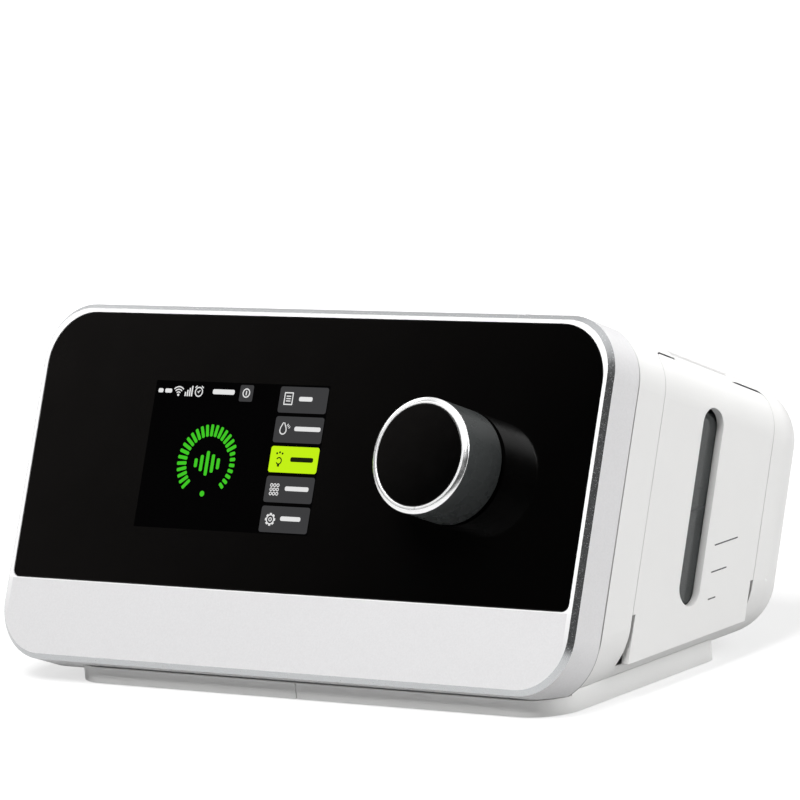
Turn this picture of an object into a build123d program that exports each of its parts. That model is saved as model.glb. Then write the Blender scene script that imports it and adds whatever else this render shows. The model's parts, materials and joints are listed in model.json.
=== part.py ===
"""CPAP machine with a built-in humidifier, whose front face leans back.

Frame: X to the right, Y to the back, Z up, millimetres, table at Z = 0.
Most shapes use leaning coordinates: x across, u into the body at right angles
to the front face, and v up the front face from the lower edge of the glass.
"""
import os
from math import cos, radians, sin

from build123d import *

os.makedirs("parts", exist_ok=True)

# ---- driving dimensions -------------------------------------------------
LEAN = 22.4                 # the front face leans back by this many degrees
HALF = 135.0                # half the overall width
TOP_V = 107.5               # top of the body, up the face
LIP_V = -31.0               # lower edge of the front frame, up the face
CORNER = 22.0               # outer corner radius of frame and housing
BAND = 17.3                 # depth of the front frame
REAR_U = 136.0              # rear face, into the body
WALL = 3.0                  # housing wall
GLASS_HALF = 131.4          # half the width of the glass
GLASS_TOP = 104.0           # top edge of the glass, up the face
FACE_Y = -82.65             # lower edge of the glass in the world frame
FACE_Z = 38.7
FOOT_TOP = 4.5              # the housing's floor stands on the foot's deck
FOOT_FRONT_TOP = 6.4        # the foot's front rail reaches up into the frame
PAD = 0.3                   # rubber pads carry the foot

SIN, COS = sin(radians(LEAN)), cos(radians(LEAN))
HEEL = (0, FACE_Y, FACE_Z)
FACE = Plane(origin=HEEL, x_dir=(1, 0, 0), z_dir=(0, -COS, SIN))
SIDE = Plane(origin=HEEL, x_dir=(0, COS, -SIN), z_dir=(1, 0, 0))
OUT = Axis(HEEL, (0, -COS, SIN))
UP_FACE = Axis(HEEL, (0, SIN, COS))
INWARD = (0, COS, -SIN)

# foot: its edges, the seam between its halves, and its corner radii
FOOT_LEFT, FOOT_RIGHT, FOOT_SEAM = -104.2, 125.3, 7.6
FOOT_FRONT, FOOT_REAR = FACE_Y - 4.6, FACE_Y + 100.8
FOOT_FRONT_R, FOOT_REAR_R = 16.0, 9.0

# knob, display and button
KNOB_X, KNOB_V = 72.0, 50.0
KNOB_R, KNOB_FACE_R = 21.45, 18.95
KNOB_FRONT, KNOB_BACK = 22.4, 1.2
SCREEN_X, SCREEN_V = -33.3, 50.1
BUTTON_X, BUTTON_U = 91.0, 9.6

# water tank and its bay in the right half
BAY_FRONT, BAY_REAR = 34.1, 106.6      # edges of the opening in the housing
BAY_TOP_V = 102.4
BAY_SILL_Z = 13.3
BAY_GAP = 0.2                          # between the opening and the end cap
SLOT_U, SLOT_V, SLOT_LONG, SLOT_WIDE = 66.95, 51.5, 73.4, 13.1
SKIRT_Z = 13.7
SPLIT_Z = 60.0                         # joint between tub and lid
PORT_V, INLET_U, OUTLET_U = 71.0, 51.0, 86.0
HOSE_R = 11.0

# blower in the left half
BLOWER_X, BLOWER_Y, BLOWER_R = -58.0, FACE_Y + 80.0, 38.0
BLOWER_Z0, BLOWER_Z1 = 17.0, 47.0


def level(u, z):
    """Height up the face of the horizontal plane z at depth u."""
    return (z - FACE_Z + u * SIN) / COS


def world(x, u, v):
    """World position of a point in leaning coordinates."""
    return (x, FACE_Y + u * COS + v * SIN, FACE_Z - u * SIN + v * COS)


def leaning(front, rear, floor, top, left, right, radius, open_front=False):
    """Leaning block with a level floor, all edges rounded."""
    with BuildPart() as block:
        with BuildSketch(SIDE.offset(left)):
            with BuildLine():
                Polyline(
                    (front, level(front, floor)),
                    (rear, level(rear, floor)),
                    (rear, top),
                    (front, top),
                    close=True,
                )
            make_face()
        extrude(amount=right - left)
        edges = block.edges()
        if open_front:
            edges = edges - block.faces().sort_by(OUT)[-1].edges()
        if radius:
            fillet(edges, radius=radius)
    return block.part


def save(part, name):
    part.label = name
    export_step(part, f"parts/{name}.step")


def coil(radius, wire, height, turns):
    """Compression spring standing on the local origin along Z."""
    with BuildPart() as spring:
        with BuildLine() as path:
            Helix(pitch=height / turns, height=height, radius=radius)
        with BuildSketch(Plane(origin=path.line @ 0, z_dir=path.line % 0)):
            RegularPolygon(wire, 6)
        sweep(is_frenet=True)
    return spring.part


# ---- front frame --------------------------------------------------------
MID_V = (TOP_V + LIP_V) / 2
HIGH = TOP_V - LIP_V

with BuildPart() as front_bezel:
    with BuildSketch(FACE):
        with Locations((0, MID_V)):
            RectangleRounded(2 * HALF, HIGH, CORNER)
    extrude(amount=-BAND)
    chamfer(front_bezel.faces().sort_by(OUT)[-1].edges(), length=1.9)
    # hollow from behind, leaving walls of 2.5 mm
    with BuildSketch(FACE.offset(-BAND)):
        with Locations((0, MID_V)):
            RectangleRounded(2 * HALF - 5, HIGH - 5, CORNER - 2.5)
    extrude(amount=BAND - 4.6, mode=Mode.SUBTRACT)
    # pocket for the glass, with windows for display and knob shaft
    with BuildSketch(FACE.offset(-2.2)) as pocket:
        with Locations((0, GLASS_TOP / 2)):
            Rectangle(2 * GLASS_HALF + 0.3, GLASS_TOP + 0.3)
        fillet(pocket.vertices().group_by(Axis.Y)[-1], radius=21)
        fillet(pocket.vertices().group_by(Axis.Y)[0], radius=3)
    extrude(amount=4, mode=Mode.SUBTRACT)
    with BuildSketch(FACE.offset(-6)):
        with Locations((SCREEN_X, SCREEN_V)):
            RectangleRounded(94, 66, 2)
        with Locations((KNOB_X, KNOB_V)):
            Circle(8)
    extrude(amount=5, mode=Mode.SUBTRACT)
    # posts that carry the front board
    with BuildSketch(FACE.offset(-14)):
        with GridLocations(196, 78, 2, 2):
            with Locations((0, SCREEN_V)):
                Circle(3.2)
    extrude(amount=9.6)
    with BuildSketch(FACE.offset(-14)):
        with GridLocations(196, 78, 2, 2):
            with Locations((0, SCREEN_V)):
                Circle(1.3)
    extrude(amount=8, mode=Mode.SUBTRACT)
    # shelves that carry the button board
    with BuildSketch(SIDE.offset(BUTTON_X - 14)):
        with Locations((9.1, 94.6)):
            Rectangle(9.2, 3.2)
    extrude(amount=5)
    with BuildSketch(SIDE.offset(BUTTON_X + 9)):
        with Locations((9.1, 94.6)):
            Rectangle(9.2, 3.2)
    extrude(amount=5)
    # hole for the start button in the top wall
    with BuildSketch(Plane(world(BUTTON_X, BUTTON_U, 95), x_dir=(1, 0, 0), z_dir=(0, SIN, COS))):
        Circle(6.3)
    extrude(amount=20, mode=Mode.SUBTRACT)
    # notch that follows the foot's outline
    with BuildSketch() as notch:
        with Locations((FOOT_LEFT - 0.3, FOOT_FRONT - 0.3)):
            Rectangle(FOOT_RIGHT - FOOT_LEFT + 0.6, 60, align=(Align.MIN, Align.MIN))
        fillet(notch.vertices().group_by(Axis.Y)[0], radius=FOOT_FRONT_R + 0.3)
    extrude(amount=FOOT_FRONT_TOP + 0.3, mode=Mode.SUBTRACT)
save(front_bezel.part, "front_bezel")

with BuildPart() as front_glass:
    with BuildSketch(FACE.offset(-2.2)) as lens:
        with Locations((0, GLASS_TOP / 2)):
            Rectangle(2 * GLASS_HALF, GLASS_TOP)
        fillet(lens.vertices().group_by(Axis.Y)[-1], radius=20.8)
        fillet(lens.vertices().group_by(Axis.Y)[0], radius=2.8)
        with Locations((KNOB_X, KNOB_V)):
            Circle(5.2, mode=Mode.SUBTRACT)
    extrude(amount=2.2)
    chamfer(front_glass.faces().sort_by(OUT)[-1].outer_wire().edges(), length=0.3)
save(front_glass.part, "front_glass")

with BuildPart() as display_module:
    with BuildSketch(FACE.offset(-7.6)):
        with Locations((SCREEN_X, SCREEN_V)):
            Rectangle(92, 64)
    extrude(amount=5.4)
    with BuildSketch(FACE.offset(-2.2)):
        with Locations((SCREEN_X, SCREEN_V)):
            Rectangle(83.5, 56.4)
    extrude(amount=-0.5, mode=Mode.SUBTRACT)
    with BuildSketch(FACE.offset(-7.6)):
        with Locations((SCREEN_X, SCREEN_V)):
            Rectangle(80, 52)
    extrude(amount=1.2, mode=Mode.SUBTRACT)
save(display_module.part, "display_module")

# front board with a few large components
BOARD_H = -14.0
with BuildPart() as front_board:
    with BuildSketch(FACE.offset(BOARD_H - 1.6)):
        with Locations((0, SCREEN_V)):
            Rectangle(208, 88)
        with GridLocations(196, 78, 2, 2):
            with Locations((0, SCREEN_V)):
                Circle(1.5, mode=Mode.SUBTRACT)
    extrude(amount=1.6)
    with BuildSketch(FACE.offset(BOARD_H - 1.6)):
        with Locations((-40, 60)):
            Rectangle(18, 18)
        with Locations((-8, 44), (-66, 40)):
            Rectangle(12, 9)
        with Locations((40, 84)):
            Rectangle(22, 5)
    extrude(amount=-2.2)
save(front_board.part, "front_board")

with BuildPart() as board_screws:
    with BuildSketch(FACE.offset(BOARD_H - 1.6)):
        with GridLocations(196, 78, 2, 2):
            with Locations((0, SCREEN_V)):
                Circle(2.6)
    extrude(amount=-1.8)
    with BuildSketch(FACE.offset(BOARD_H - 1.6)):
        with GridLocations(196, 78, 2, 2):
            with Locations((0, SCREEN_V)):
                Circle(1.25)
    extrude(amount=7)
save(board_screws.part, "board_screws")

# ---- knob and its encoder -----------------------------------------------
SHAFT_R = 3.0
FIT = 0.03                  # radial clearance of pressed or keyed pieces
with BuildPart() as knob_encoder:
    with BuildSketch(FACE.offset(BOARD_H)):
        with Locations((KNOB_X, KNOB_V)):
            RectangleRounded(14, 14, 1)
    extrude(amount=7)
    with BuildSketch(FACE.offset(BOARD_H + 7)):
        with Locations((KNOB_X, KNOB_V)):
            Circle(4.4)
    extrude(amount=6)
    with BuildSketch(FACE.offset(BOARD_H + 1)):
        with Locations((KNOB_X, KNOB_V)):
            Circle(5.2)
    extrude(amount=4, mode=Mode.SUBTRACT)
    with BuildSketch(FACE.offset(BOARD_H + 1)):
        with Locations((KNOB_X, KNOB_V)):
            Circle(SHAFT_R + 0.05)
    extrude(amount=20, mode=Mode.SUBTRACT)
save(knob_encoder.part, "knob_encoder")

# the shaft ends in a ball-faced foot that turns in the sprung plunger
with BuildPart() as knob_shaft:
    with BuildSketch(FACE.offset(BOARD_H + 2.6)):
        with Locations((KNOB_X, KNOB_V)):
            Circle(SHAFT_R)
    extrude(amount=31)
    with BuildSketch(FACE.offset(10)):
        with Locations((KNOB_X, KNOB_V - SHAFT_R)):
            Rectangle(8, 2)
    extrude(amount=10, mode=Mode.SUBTRACT)
save(knob_shaft.part, "knob_shaft")

with BuildPart() as knob_plunger:
    with BuildSketch(FACE.offset(BOARD_H + 2.2)):
        with Locations((KNOB_X, KNOB_V)):
            Circle(4.6)
    extrude(amount=2)
    with BuildSketch(FACE.offset(BOARD_H + 2.6)):
        with Locations((KNOB_X, KNOB_V)):
            Circle(SHAFT_R + 0.05)
    extrude(amount=5, mode=Mode.SUBTRACT)
save(knob_plunger.part, "knob_plunger")

with BuildPart() as knob_barrel:
    with BuildSketch(FACE.offset(KNOB_BACK)):
        with Locations((KNOB_X, KNOB_V)):
            Circle(KNOB_R)
    extrude(amount=19.8)
    # thin skirt and a hub on the shaft
    with BuildSketch(FACE.offset(KNOB_BACK)):
        with Locations((KNOB_X, KNOB_V)):
            Circle(KNOB_R - 2.2)
            Circle(6.0, mode=Mode.SUBTRACT)
    extrude(amount=14, mode=Mode.SUBTRACT)
    # shaft socket with its flat
    with BuildSketch(FACE.offset(KNOB_BACK)):
        with Locations((KNOB_X, KNOB_V)):
            Circle(SHAFT_R + FIT)
    extrude(amount=8.8, mode=Mode.SUBTRACT)
    with BuildSketch(FACE.offset(10)):
        with Locations((KNOB_X, KNOB_V)):
            Circle(SHAFT_R + FIT)
        with Locations((KNOB_X, KNOB_V - SHAFT_R)):
            Rectangle(8, 2 - FIT, mode=Mode.SUBTRACT)
    extrude(amount=9.6 + FIT, mode=Mode.SUBTRACT)
    # seat for trim ring and face disc
    with BuildSketch(FACE.offset(20.0)):
        with Locations((KNOB_X, KNOB_V)):
            Circle(KNOB_R - 1.2)
    extrude(amount=3, mode=Mode.SUBTRACT)
save(knob_barrel.part, "knob_barrel")

with BuildPart() as knob_trim_ring:
    with BuildSketch(FACE.offset(20.0)):
        with Locations((KNOB_X, KNOB_V)):
            Circle(KNOB_R - 1.2)
            Circle(KNOB_FACE_R, mode=Mode.SUBTRACT)
    extrude(amount=1.0)
    with BuildSketch(FACE.offset(21.0)):
        with Locations((KNOB_X, KNOB_V)):
            Circle(KNOB_R)
    extrude(amount=KNOB_FRONT - 21.0)
    chamfer(
        knob_trim_ring.faces().sort_by(OUT)[-1].edges(),
        length=KNOB_FRONT - 21.0 - 0.05,
        length2=KNOB_R - KNOB_FACE_R - 0.1,
    )
    with BuildSketch(FACE.offset(19.0)):
        with Locations((KNOB_X, KNOB_V)):
            Circle(KNOB_FACE_R)
    extrude(amount=6, mode=Mode.SUBTRACT)
save(knob_trim_ring.part, "knob_trim_ring")

with BuildPart() as knob_face_disc:
    with BuildSketch(FACE.offset(20.0)):
        with Locations((KNOB_X, KNOB_V)):
            Circle(KNOB_FACE_R)
    extrude(amount=KNOB_FRONT - 20.1)
    chamfer(knob_face_disc.faces().sort_by(OUT)[-1].edges(), length=0.3)
save(knob_face_disc.part, "knob_face_disc")

# ---- start button on the band's top -------------------------------------
def on_top(v):
    return Plane(world(BUTTON_X, BUTTON_U, v), x_dir=(1, 0, 0), z_dir=(0, SIN, COS))


with BuildPart() as start_button:
    with BuildSketch(on_top(103.2)):
        Circle(6.0)
    extrude(amount=TOP_V - 103.2 + 0.9)
    fillet(start_button.faces().sort_by(UP_FACE)[-1].edges(), radius=1.6)
    with BuildSketch(on_top(102.0)):
        RectangleRounded(14.4, 9.6, 1)
        Circle(6.0)
    extrude(amount=2.6)
    with BuildSketch(on_top(102.0)):
        Circle(2.9)
    extrude(amount=1.5, mode=Mode.SUBTRACT)
save(start_button.part, "start_button")

with BuildPart() as start_button_spring:
    add(coil(2.3, 0.35, 4.9, 3).locate(Location(on_top(98.2))))
save(start_button_spring.part, "start_button_spring")

with BuildPart() as button_board:
    with BuildSketch(on_top(96.2)):
        Rectangle(30, 9.4)
    extrude(amount=1.6)
    with BuildSketch(on_top(97.8)):
        Circle(1.4)
    extrude(amount=2.2)
save(button_board.part, "button_board")

# ---- housing ------------------------------------------------------------
outer = leaning(BAND + 0.5, REAR_U, FOOT_TOP, TOP_V, -HALF, HALF, CORNER, True)
inner = leaning(
    BAND - 1, REAR_U - WALL, FOOT_TOP + WALL, TOP_V - WALL,
    -HALF + WALL, HALF - WALL, CORNER - WALL, True,
)
tongue = leaning(
    13.0, 60, FOOT_TOP + WALL - 0.2, TOP_V - 2.8,
    -HALF + 2.8, HALF - 2.8, CORNER - 2.8, True,
)
tongue_inner = leaning(
    12.0, 60, FOOT_TOP + WALL + 1.2, TOP_V - 4.2,
    -HALF + 4.2, HALF - 4.2, CORNER - 4.2, True,
)
FLOOR_Z = FOOT_TOP + WALL

# places of the screws that hold the foot, and of their bosses
BASE_SCREWS = [
    (-90, 32), (-90, 68), (-6, 32), (-6, 68),
    (20, 32), (20, 68), (115.2, 44), (115.2, 72),
]

FILTER_X, FILTER_V = -58.0, 64.5
PIVOT_U, PIVOT_V = REAR_U - 1.2, FILTER_V - 17.8   # hinge line of the filter cover
REAR_X = -6.0
BOARD_X = -116.0
DC_X, DC_V = BOARD_X + 7.1, 52.0
CARD_X, CARD_V = BOARD_X + 4.8, 74.0


def on_rear(x, v, u=REAR_U):
    """Plane on the rear face, looking out of the body."""
    return Plane(world(x, u, v), x_dir=(-1, 0, 0), z_dir=INWARD)


with BuildPart() as standoffs:
    with BuildSketch(SIDE.offset(BOARD_X)):
        with Locations((90, 66)):
            with GridLocations(70, 42, 2, 2):
                Circle(3)
    extrude(amount=-HALF - BOARD_X + 1)
    add(outer, mode=Mode.INTERSECT)

with BuildPart() as housing:
    add(outer)
    add(inner, mode=Mode.SUBTRACT)
    # opening for the water tank, with its upper corners rounded
    with BuildSketch(SIDE.offset(100)) as bay:
        with BuildLine():
            Polyline(
                (BAY_FRONT, level(BAY_FRONT, BAY_SILL_Z)),
                (BAY_REAR, level(BAY_REAR, BAY_SILL_Z)),
                (BAY_REAR, BAY_TOP_V),
                (BAY_FRONT, BAY_TOP_V),
                close=True,
            )
        make_face()
        fillet(bay.vertices().group_by(Axis.Y)[-1], radius=4)
    extrude(amount=50, mode=Mode.SUBTRACT)
    # slot for the tank release key in the top corner
    with BuildSketch(SIDE.offset(122.8)):
        with Locations((SLOT_U + 1, 104)):
            Rectangle(39.6, 14)
    extrude(amount=5.1, mode=Mode.SUBTRACT)
    # rear openings: filter, air outlet, DC inlet and card
    with BuildSketch(on_rear(FILTER_X, FILTER_V)):
        RectangleRounded(54.8, 39.0, 2.5)
    extrude(amount=-6, mode=Mode.SUBTRACT)
    with BuildSketch(on_rear(REAR_X, PORT_V)):
        Circle(10.7)
    extrude(amount=-6, mode=Mode.SUBTRACT)
    with BuildSketch(on_rear(DC_X, DC_V)):
        RectangleRounded(11.2, 11.2, 1.5)
    extrude(amount=-6, mode=Mode.SUBTRACT)
    with BuildSketch(on_rear(CARD_X, CARD_V)):
        Rectangle(3.2, 25.2)
    extrude(amount=-6, mode=Mode.SUBTRACT)
    # sockets for the pivots of the filter cover
    with BuildSketch(SIDE.offset(FILTER_X - 28.7)):
        with Locations((PIVOT_U, PIVOT_V)):
            Circle(0.85)
    extrude(amount=57.4, mode=Mode.SUBTRACT)
    # cooling slots in the left wall
    with BuildSketch(SIDE.offset(-HALF)):
        with Locations((82, 56)):
            with GridLocations(7, 1, 8, 1):
                SlotOverall(30, 2.4, rotation=90)
    extrude(amount=6, mode=Mode.SUBTRACT)
    # standoffs for the main board and ribs over the silencer
    add(standoffs.part)
    for x in (-80, -38):
        with BuildSketch(SIDE.offset(x)):
            with Locations((80, 103)):
                Rectangle(60, 4)
        extrude(amount=2)
    # bosses for the base screws
    with BuildSketch(Plane.XY.offset(FLOOR_Z - 0.5)):
        with Locations(*[(x, FACE_Y + y) for x, y in BASE_SCREWS]):
            Circle(3.6)
    extrude(amount=6.5)
    with BuildSketch(Plane.XY.offset(FOOT_TOP - 1)):
        with Locations(*[(x, FACE_Y + y) for x, y in BASE_SCREWS]):
            Circle(1.3)
    extrude(amount=9.4, mode=Mode.SUBTRACT)

with BuildPart() as front_tongue:
    add(tongue)
    add(tongue_inner, mode=Mode.SUBTRACT)
    with BuildSketch(FACE.offset(-20)):
        Rectangle(400, 400)
    extrude(amount=-60, mode=Mode.SUBTRACT)
    with BuildSketch(Plane.XY.offset(FLOOR_Z + 1.1)):
        with Locations((0, 0)):
            Rectangle(400, 400)
    extrude(amount=-40, mode=Mode.SUBTRACT)
    # room for the start button
    with BuildSketch(on_top(100)):
        Rectangle(18, 14)
    extrude(amount=8, mode=Mode.SUBTRACT)

with BuildPart() as housing_whole:
    add(housing.part)
    add(front_tongue.part)
save(housing_whole.part, "housing")

# ---- foot ---------------------------------------------------------------
# the foot's rim rises beside the housing's rounded lower corner
RAIL_Y = FACE_Y + 7.3
above_foot = leaning(BAND, REAR_U + 9, FOOT_TOP, TOP_V, -HALF - 0.1, HALF + 0.1, CORNER, True)


def pad_spots(left, right):
    """Centres of the rubber pads under one half of the foot."""
    rows = (FOOT_FRONT + 12, FOOT_REAR - 12)
    return [(x, y) for x in (left + 13, right - 13) for y in rows]


def base_half(left, right, round_left):
    """One half of the foot: a shallow tray with ribs below its deck."""
    wide = right - left
    end = 0 if round_left else -1
    with BuildPart() as half:
        with BuildSketch(Plane.XY.offset(PAD)) as plan:
            with Locations((left, FOOT_FRONT)):
                Rectangle(wide, FOOT_REAR - FOOT_FRONT, align=(Align.MIN, Align.MIN))
            fillet(plan.vertices().group_by(Axis.Y)[-1].sort_by(Axis.X)[end], radius=FOOT_REAR_R)
            fillet(plan.vertices().group_by(Axis.Y)[0].sort_by(Axis.X)[end], radius=FOOT_FRONT_R)
        extrude(amount=10 - PAD)
        add(above_foot, mode=Mode.SUBTRACT)
        with Locations((left - 5, FOOT_FRONT - 5, FOOT_FRONT_TOP)):
            Box(wide + 10, RAIL_Y - FOOT_FRONT + 5, 20,
                align=(Align.MIN, Align.MIN, Align.MIN), mode=Mode.SUBTRACT)
        with BuildSketch(Plane.XY.offset(PAD)) as hollow:
            with Locations((left + 2.4, FOOT_FRONT + 2.4)):
                Rectangle(wide - 4.8, FOOT_REAR - FOOT_FRONT - 4.8, align=(Align.MIN, Align.MIN))
            rear = hollow.vertices().group_by(Axis.Y)[-1].sort_by(Axis.X)[end]
            fillet(rear, radius=FOOT_REAR_R - 2.4)
            front = hollow.vertices().group_by(Axis.Y)[0].sort_by(Axis.X)[end]
            fillet(front, radius=FOOT_FRONT_R - 2.4)
        extrude(amount=2.6, mode=Mode.SUBTRACT)
        # ribs, screw towers and pad seats inside the tray
        with BuildSketch(Plane.XY.offset(PAD + 0.6)):
            with Locations((left + wide / 2, (FOOT_FRONT + FOOT_REAR) / 2)):
                with GridLocations(wide / 3, 1, 2, 1):
                    Rectangle(1.6, FOOT_REAR - FOOT_FRONT - 2)
                Rectangle(wide - 3, 1.6)
        extrude(amount=2.4)
        with BuildSketch(Plane.XY.offset(PAD)):
            spots = [(x, FACE_Y + y) for x, y in BASE_SCREWS if left < x < right]
            with Locations(*spots):
                Circle(5)
        extrude(amount=3)
        with BuildSketch(Plane.XY.offset(PAD)):
            with Locations(*spots):
                Circle(3.2)
        extrude(amount=1.9, mode=Mode.SUBTRACT)
        with BuildSketch(Plane.XY.offset(PAD)):
            with Locations(*spots):
                Circle(1.7)
        extrude(amount=12, mode=Mode.SUBTRACT)
        with BuildSketch(Plane.XY.offset(PAD)):
            with Locations(*pad_spots(left, right)):
                Circle(7)
        extrude(amount=3)
        with BuildSketch(Plane.XY.offset(PAD)):
            with Locations(*pad_spots(left, right)):
                Circle(5.6)
        extrude(amount=1, mode=Mode.SUBTRACT)
    return half.part


base_left = base_half(FOOT_LEFT, FOOT_SEAM - 0.2, True)
save(base_left, "base_left")
base_right = base_half(FOOT_SEAM + 0.2, FOOT_RIGHT, False)
save(base_right, "base_right")

with BuildPart() as rubber_pads:
    with BuildSketch(Plane.XY):
        with Locations(*pad_spots(FOOT_LEFT, FOOT_SEAM - 0.2)):
            Circle(5.5)
        with Locations(*pad_spots(FOOT_SEAM + 0.2, FOOT_RIGHT)):
            Circle(5.5)
    extrude(amount=PAD + 1)
    chamfer(rubber_pads.edges().group_by(Axis.Z)[0], length=0.3)
save(rubber_pads.part, "rubber_pads")

with BuildPart() as base_screws:
    with BuildSketch(Plane.XY.offset(PAD + 0.4)):
        with Locations(*[(x, FACE_Y + y) for x, y in BASE_SCREWS]):
            Circle(2.8)
    extrude(amount=1.5)
    with BuildSketch(Plane.XY.offset(PAD + 1.9)):
        with Locations(*[(x, FACE_Y + y) for x, y in BASE_SCREWS]):
            Circle(1.25)
    extrude(amount=10)
save(base_screws.part, "base_screws")

# ---- tank bay -----------------------------------------------------------
LINER_FRONT, LINER_REAR, LINER_FLOOR, LINER_TOP = 36.9, 104.2, 17.0, 91.0
LINER_END = 12.0
HEAT_X0, HEAT_X1 = 30.0, 110.0
HEAT_Y0, HEAT_Y1 = FACE_Y + 40.0, FACE_Y + 95.0

liner_outer = leaning(LINER_FRONT - 2, LINER_REAR + 2, LINER_FLOOR - 2, LINER_TOP + 2,
                      LINER_END - 2, 129.5, 0)
liner_inner = leaning(LINER_FRONT, LINER_REAR, LINER_FLOOR, LINER_TOP, LINER_END, 140, 0)


def on_end(u, v, x=LINER_END):
    """Plane on the inner end wall of the bay, looking to the right."""
    return Plane(world(x, u, v), x_dir=(0, COS, -SIN), z_dir=(1, 0, 0))


with BuildPart() as bay_liner:
    add(liner_outer)
    add(liner_inner, mode=Mode.SUBTRACT)
    # flange behind the tank's end cap
    with BuildSketch(SIDE.offset(119.5)) as flange:
        with BuildLine():
            Polyline(
                (BAY_FRONT + 0.4, level(BAY_FRONT, 13.2)),
                (BAY_REAR - 0.4, level(BAY_REAR, 13.2)),
                (BAY_REAR - 0.4, BAY_TOP_V - 0.5),
                (BAY_FRONT + 0.4, BAY_TOP_V - 0.5),
                close=True,
            )
        make_face()
        fillet(flange.vertices().group_by(Axis.Y)[-1], radius=3.6)
    extrude(amount=1.6)
    add(liner_inner, mode=Mode.SUBTRACT)
    # air ports and the window for the heater plate
    for u in (INLET_U, OUTLET_U):
        with BuildSketch(on_end(u, PORT_V, LINER_END - 3)):
            Circle(9.6)
        extrude(amount=4, mode=Mode.SUBTRACT)
    with Locations(((HEAT_X0 + HEAT_X1) / 2, (HEAT_Y0 + HEAT_Y1) / 2, LINER_FLOOR - 1)):
        Box(HEAT_X1 - HEAT_X0 + 4, HEAT_Y1 - HEAT_Y0 + 4, 6, mode=Mode.SUBTRACT)
save(bay_liner.part, "bay_liner")

with BuildPart() as heater_plate:
    with BuildSketch(Plane.XY.offset(14.2)):
        with Locations(((HEAT_X0 + HEAT_X1) / 2, (HEAT_Y0 + HEAT_Y1) / 2)):
            RectangleRounded(HEAT_X1 - HEAT_X0, HEAT_Y1 - HEAT_Y0, 6)
    extrude(amount=3.0)
    chamfer(heater_plate.faces().sort_by(Axis.Z)[-1].edges(), length=0.6)
save(heater_plate.part, "heater_plate")

with BuildPart() as heater_insulator:
    with BuildSketch(Plane.XY.offset(12.6)):
        with Locations(((HEAT_X0 + HEAT_X1) / 2, (HEAT_Y0 + HEAT_Y1) / 2)):
            RectangleRounded(HEAT_X1 - HEAT_X0 + 3, HEAT_Y1 - HEAT_Y0 + 3, 7)
    extrude(amount=1.6)
save(heater_insulator.part, "heater_insulator")

# four bowed leaf springs press the heater up against the tank
with BuildPart() as heater_springs:
    for y in (HEAT_Y0 + 10, HEAT_Y1 - 16):
        with BuildSketch(Plane.XZ.offset(-y - 6)):
            for x in (HEAT_X0 + 20, HEAT_X1 - 20):
                with BuildLine():
                    bow = ThreePointArc((x - 12, FLOOR_Z + 0.05), (x, 12.15), (x + 12, FLOOR_Z + 0.05))
                    top = ThreePointArc((x + 12, FLOOR_Z + 0.45), (x, 12.55), (x - 12, FLOOR_Z + 0.45))
                    Line(bow @ 1, top @ 0)
                    Line(top @ 1, bow @ 0)
                make_face()
        extrude(amount=6)
save(heater_springs.part, "heater_springs")

with BuildPart() as port_seals:
    for u in (INLET_U, OUTLET_U):
        with BuildSketch(on_end(u, PORT_V, LINER_END)):
            Circle(12)
            Circle(9.0, mode=Mode.SUBTRACT)
        extrude(amount=1.5)
        with BuildSketch(on_end(u, PORT_V, LINER_END - 2)):
            Circle(9.5)
            Circle(9.0, mode=Mode.SUBTRACT)
        extrude(amount=2)
save(port_seals.part, "port_seals")

# ---- water tank ---------------------------------------------------------
TANK_FRONT, TANK_REAR, TANK_FLOOR, TANK_TOP = 37.4, 103.7, 17.5, 90.5
TANK_LEFT, TANK_RIGHT = 14.0, 131.8
SKIN = 2.2
tank_outer = leaning(TANK_FRONT, TANK_REAR, TANK_FLOOR, TANK_TOP, TANK_LEFT, TANK_RIGHT, 7)
tank_inner = leaning(
    TANK_FRONT + SKIN, TANK_REAR - SKIN, TANK_FLOOR + SKIN, TANK_TOP - SKIN,
    TANK_LEFT + SKIN, TANK_RIGHT - SKIN, 7 - SKIN,
)
PAN_X0, PAN_X1 = HEAT_X0 - 3, HEAT_X1 + 3
PAN_Y0, PAN_Y1 = HEAT_Y0 - 2.5, HEAT_Y1 + 2.5
PAN_AT = ((PAN_X0 + PAN_X1) / 2, (PAN_Y0 + PAN_Y1) / 2)

with BuildPart() as tank_tub:
    add(tank_outer)
    add(tank_inner, mode=Mode.SUBTRACT)
    split(bisect_by=Plane.XY.offset(SPLIT_Z - 0.8), keep=Keep.BOTTOM)
    with BuildSketch(Plane.XY.offset(TANK_FLOOR - 1)):
        with Locations(PAN_AT):
            RectangleRounded(PAN_X1 - PAN_X0, PAN_Y1 - PAN_Y0, 8)
    extrude(amount=6, mode=Mode.SUBTRACT)
save(tank_tub.part, "tank_tub")

with BuildPart() as tank_base_pan:
    with BuildSketch(Plane.XY.offset(TANK_FLOOR)):
        with Locations(PAN_AT):
            RectangleRounded(PAN_X1 - PAN_X0 - 0.1, PAN_Y1 - PAN_Y0 - 0.1, 7.9)
    extrude(amount=SKIN + 0.6)
    with BuildSketch(Plane.XY.offset(TANK_FLOOR + 1)):
        with Locations(PAN_AT):
            RectangleRounded(PAN_X1 - PAN_X0 - 2.4, PAN_Y1 - PAN_Y0 - 2.4, 6.8)
    extrude(amount=6, mode=Mode.SUBTRACT)
save(tank_base_pan.part, "tank_base_pan")

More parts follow.
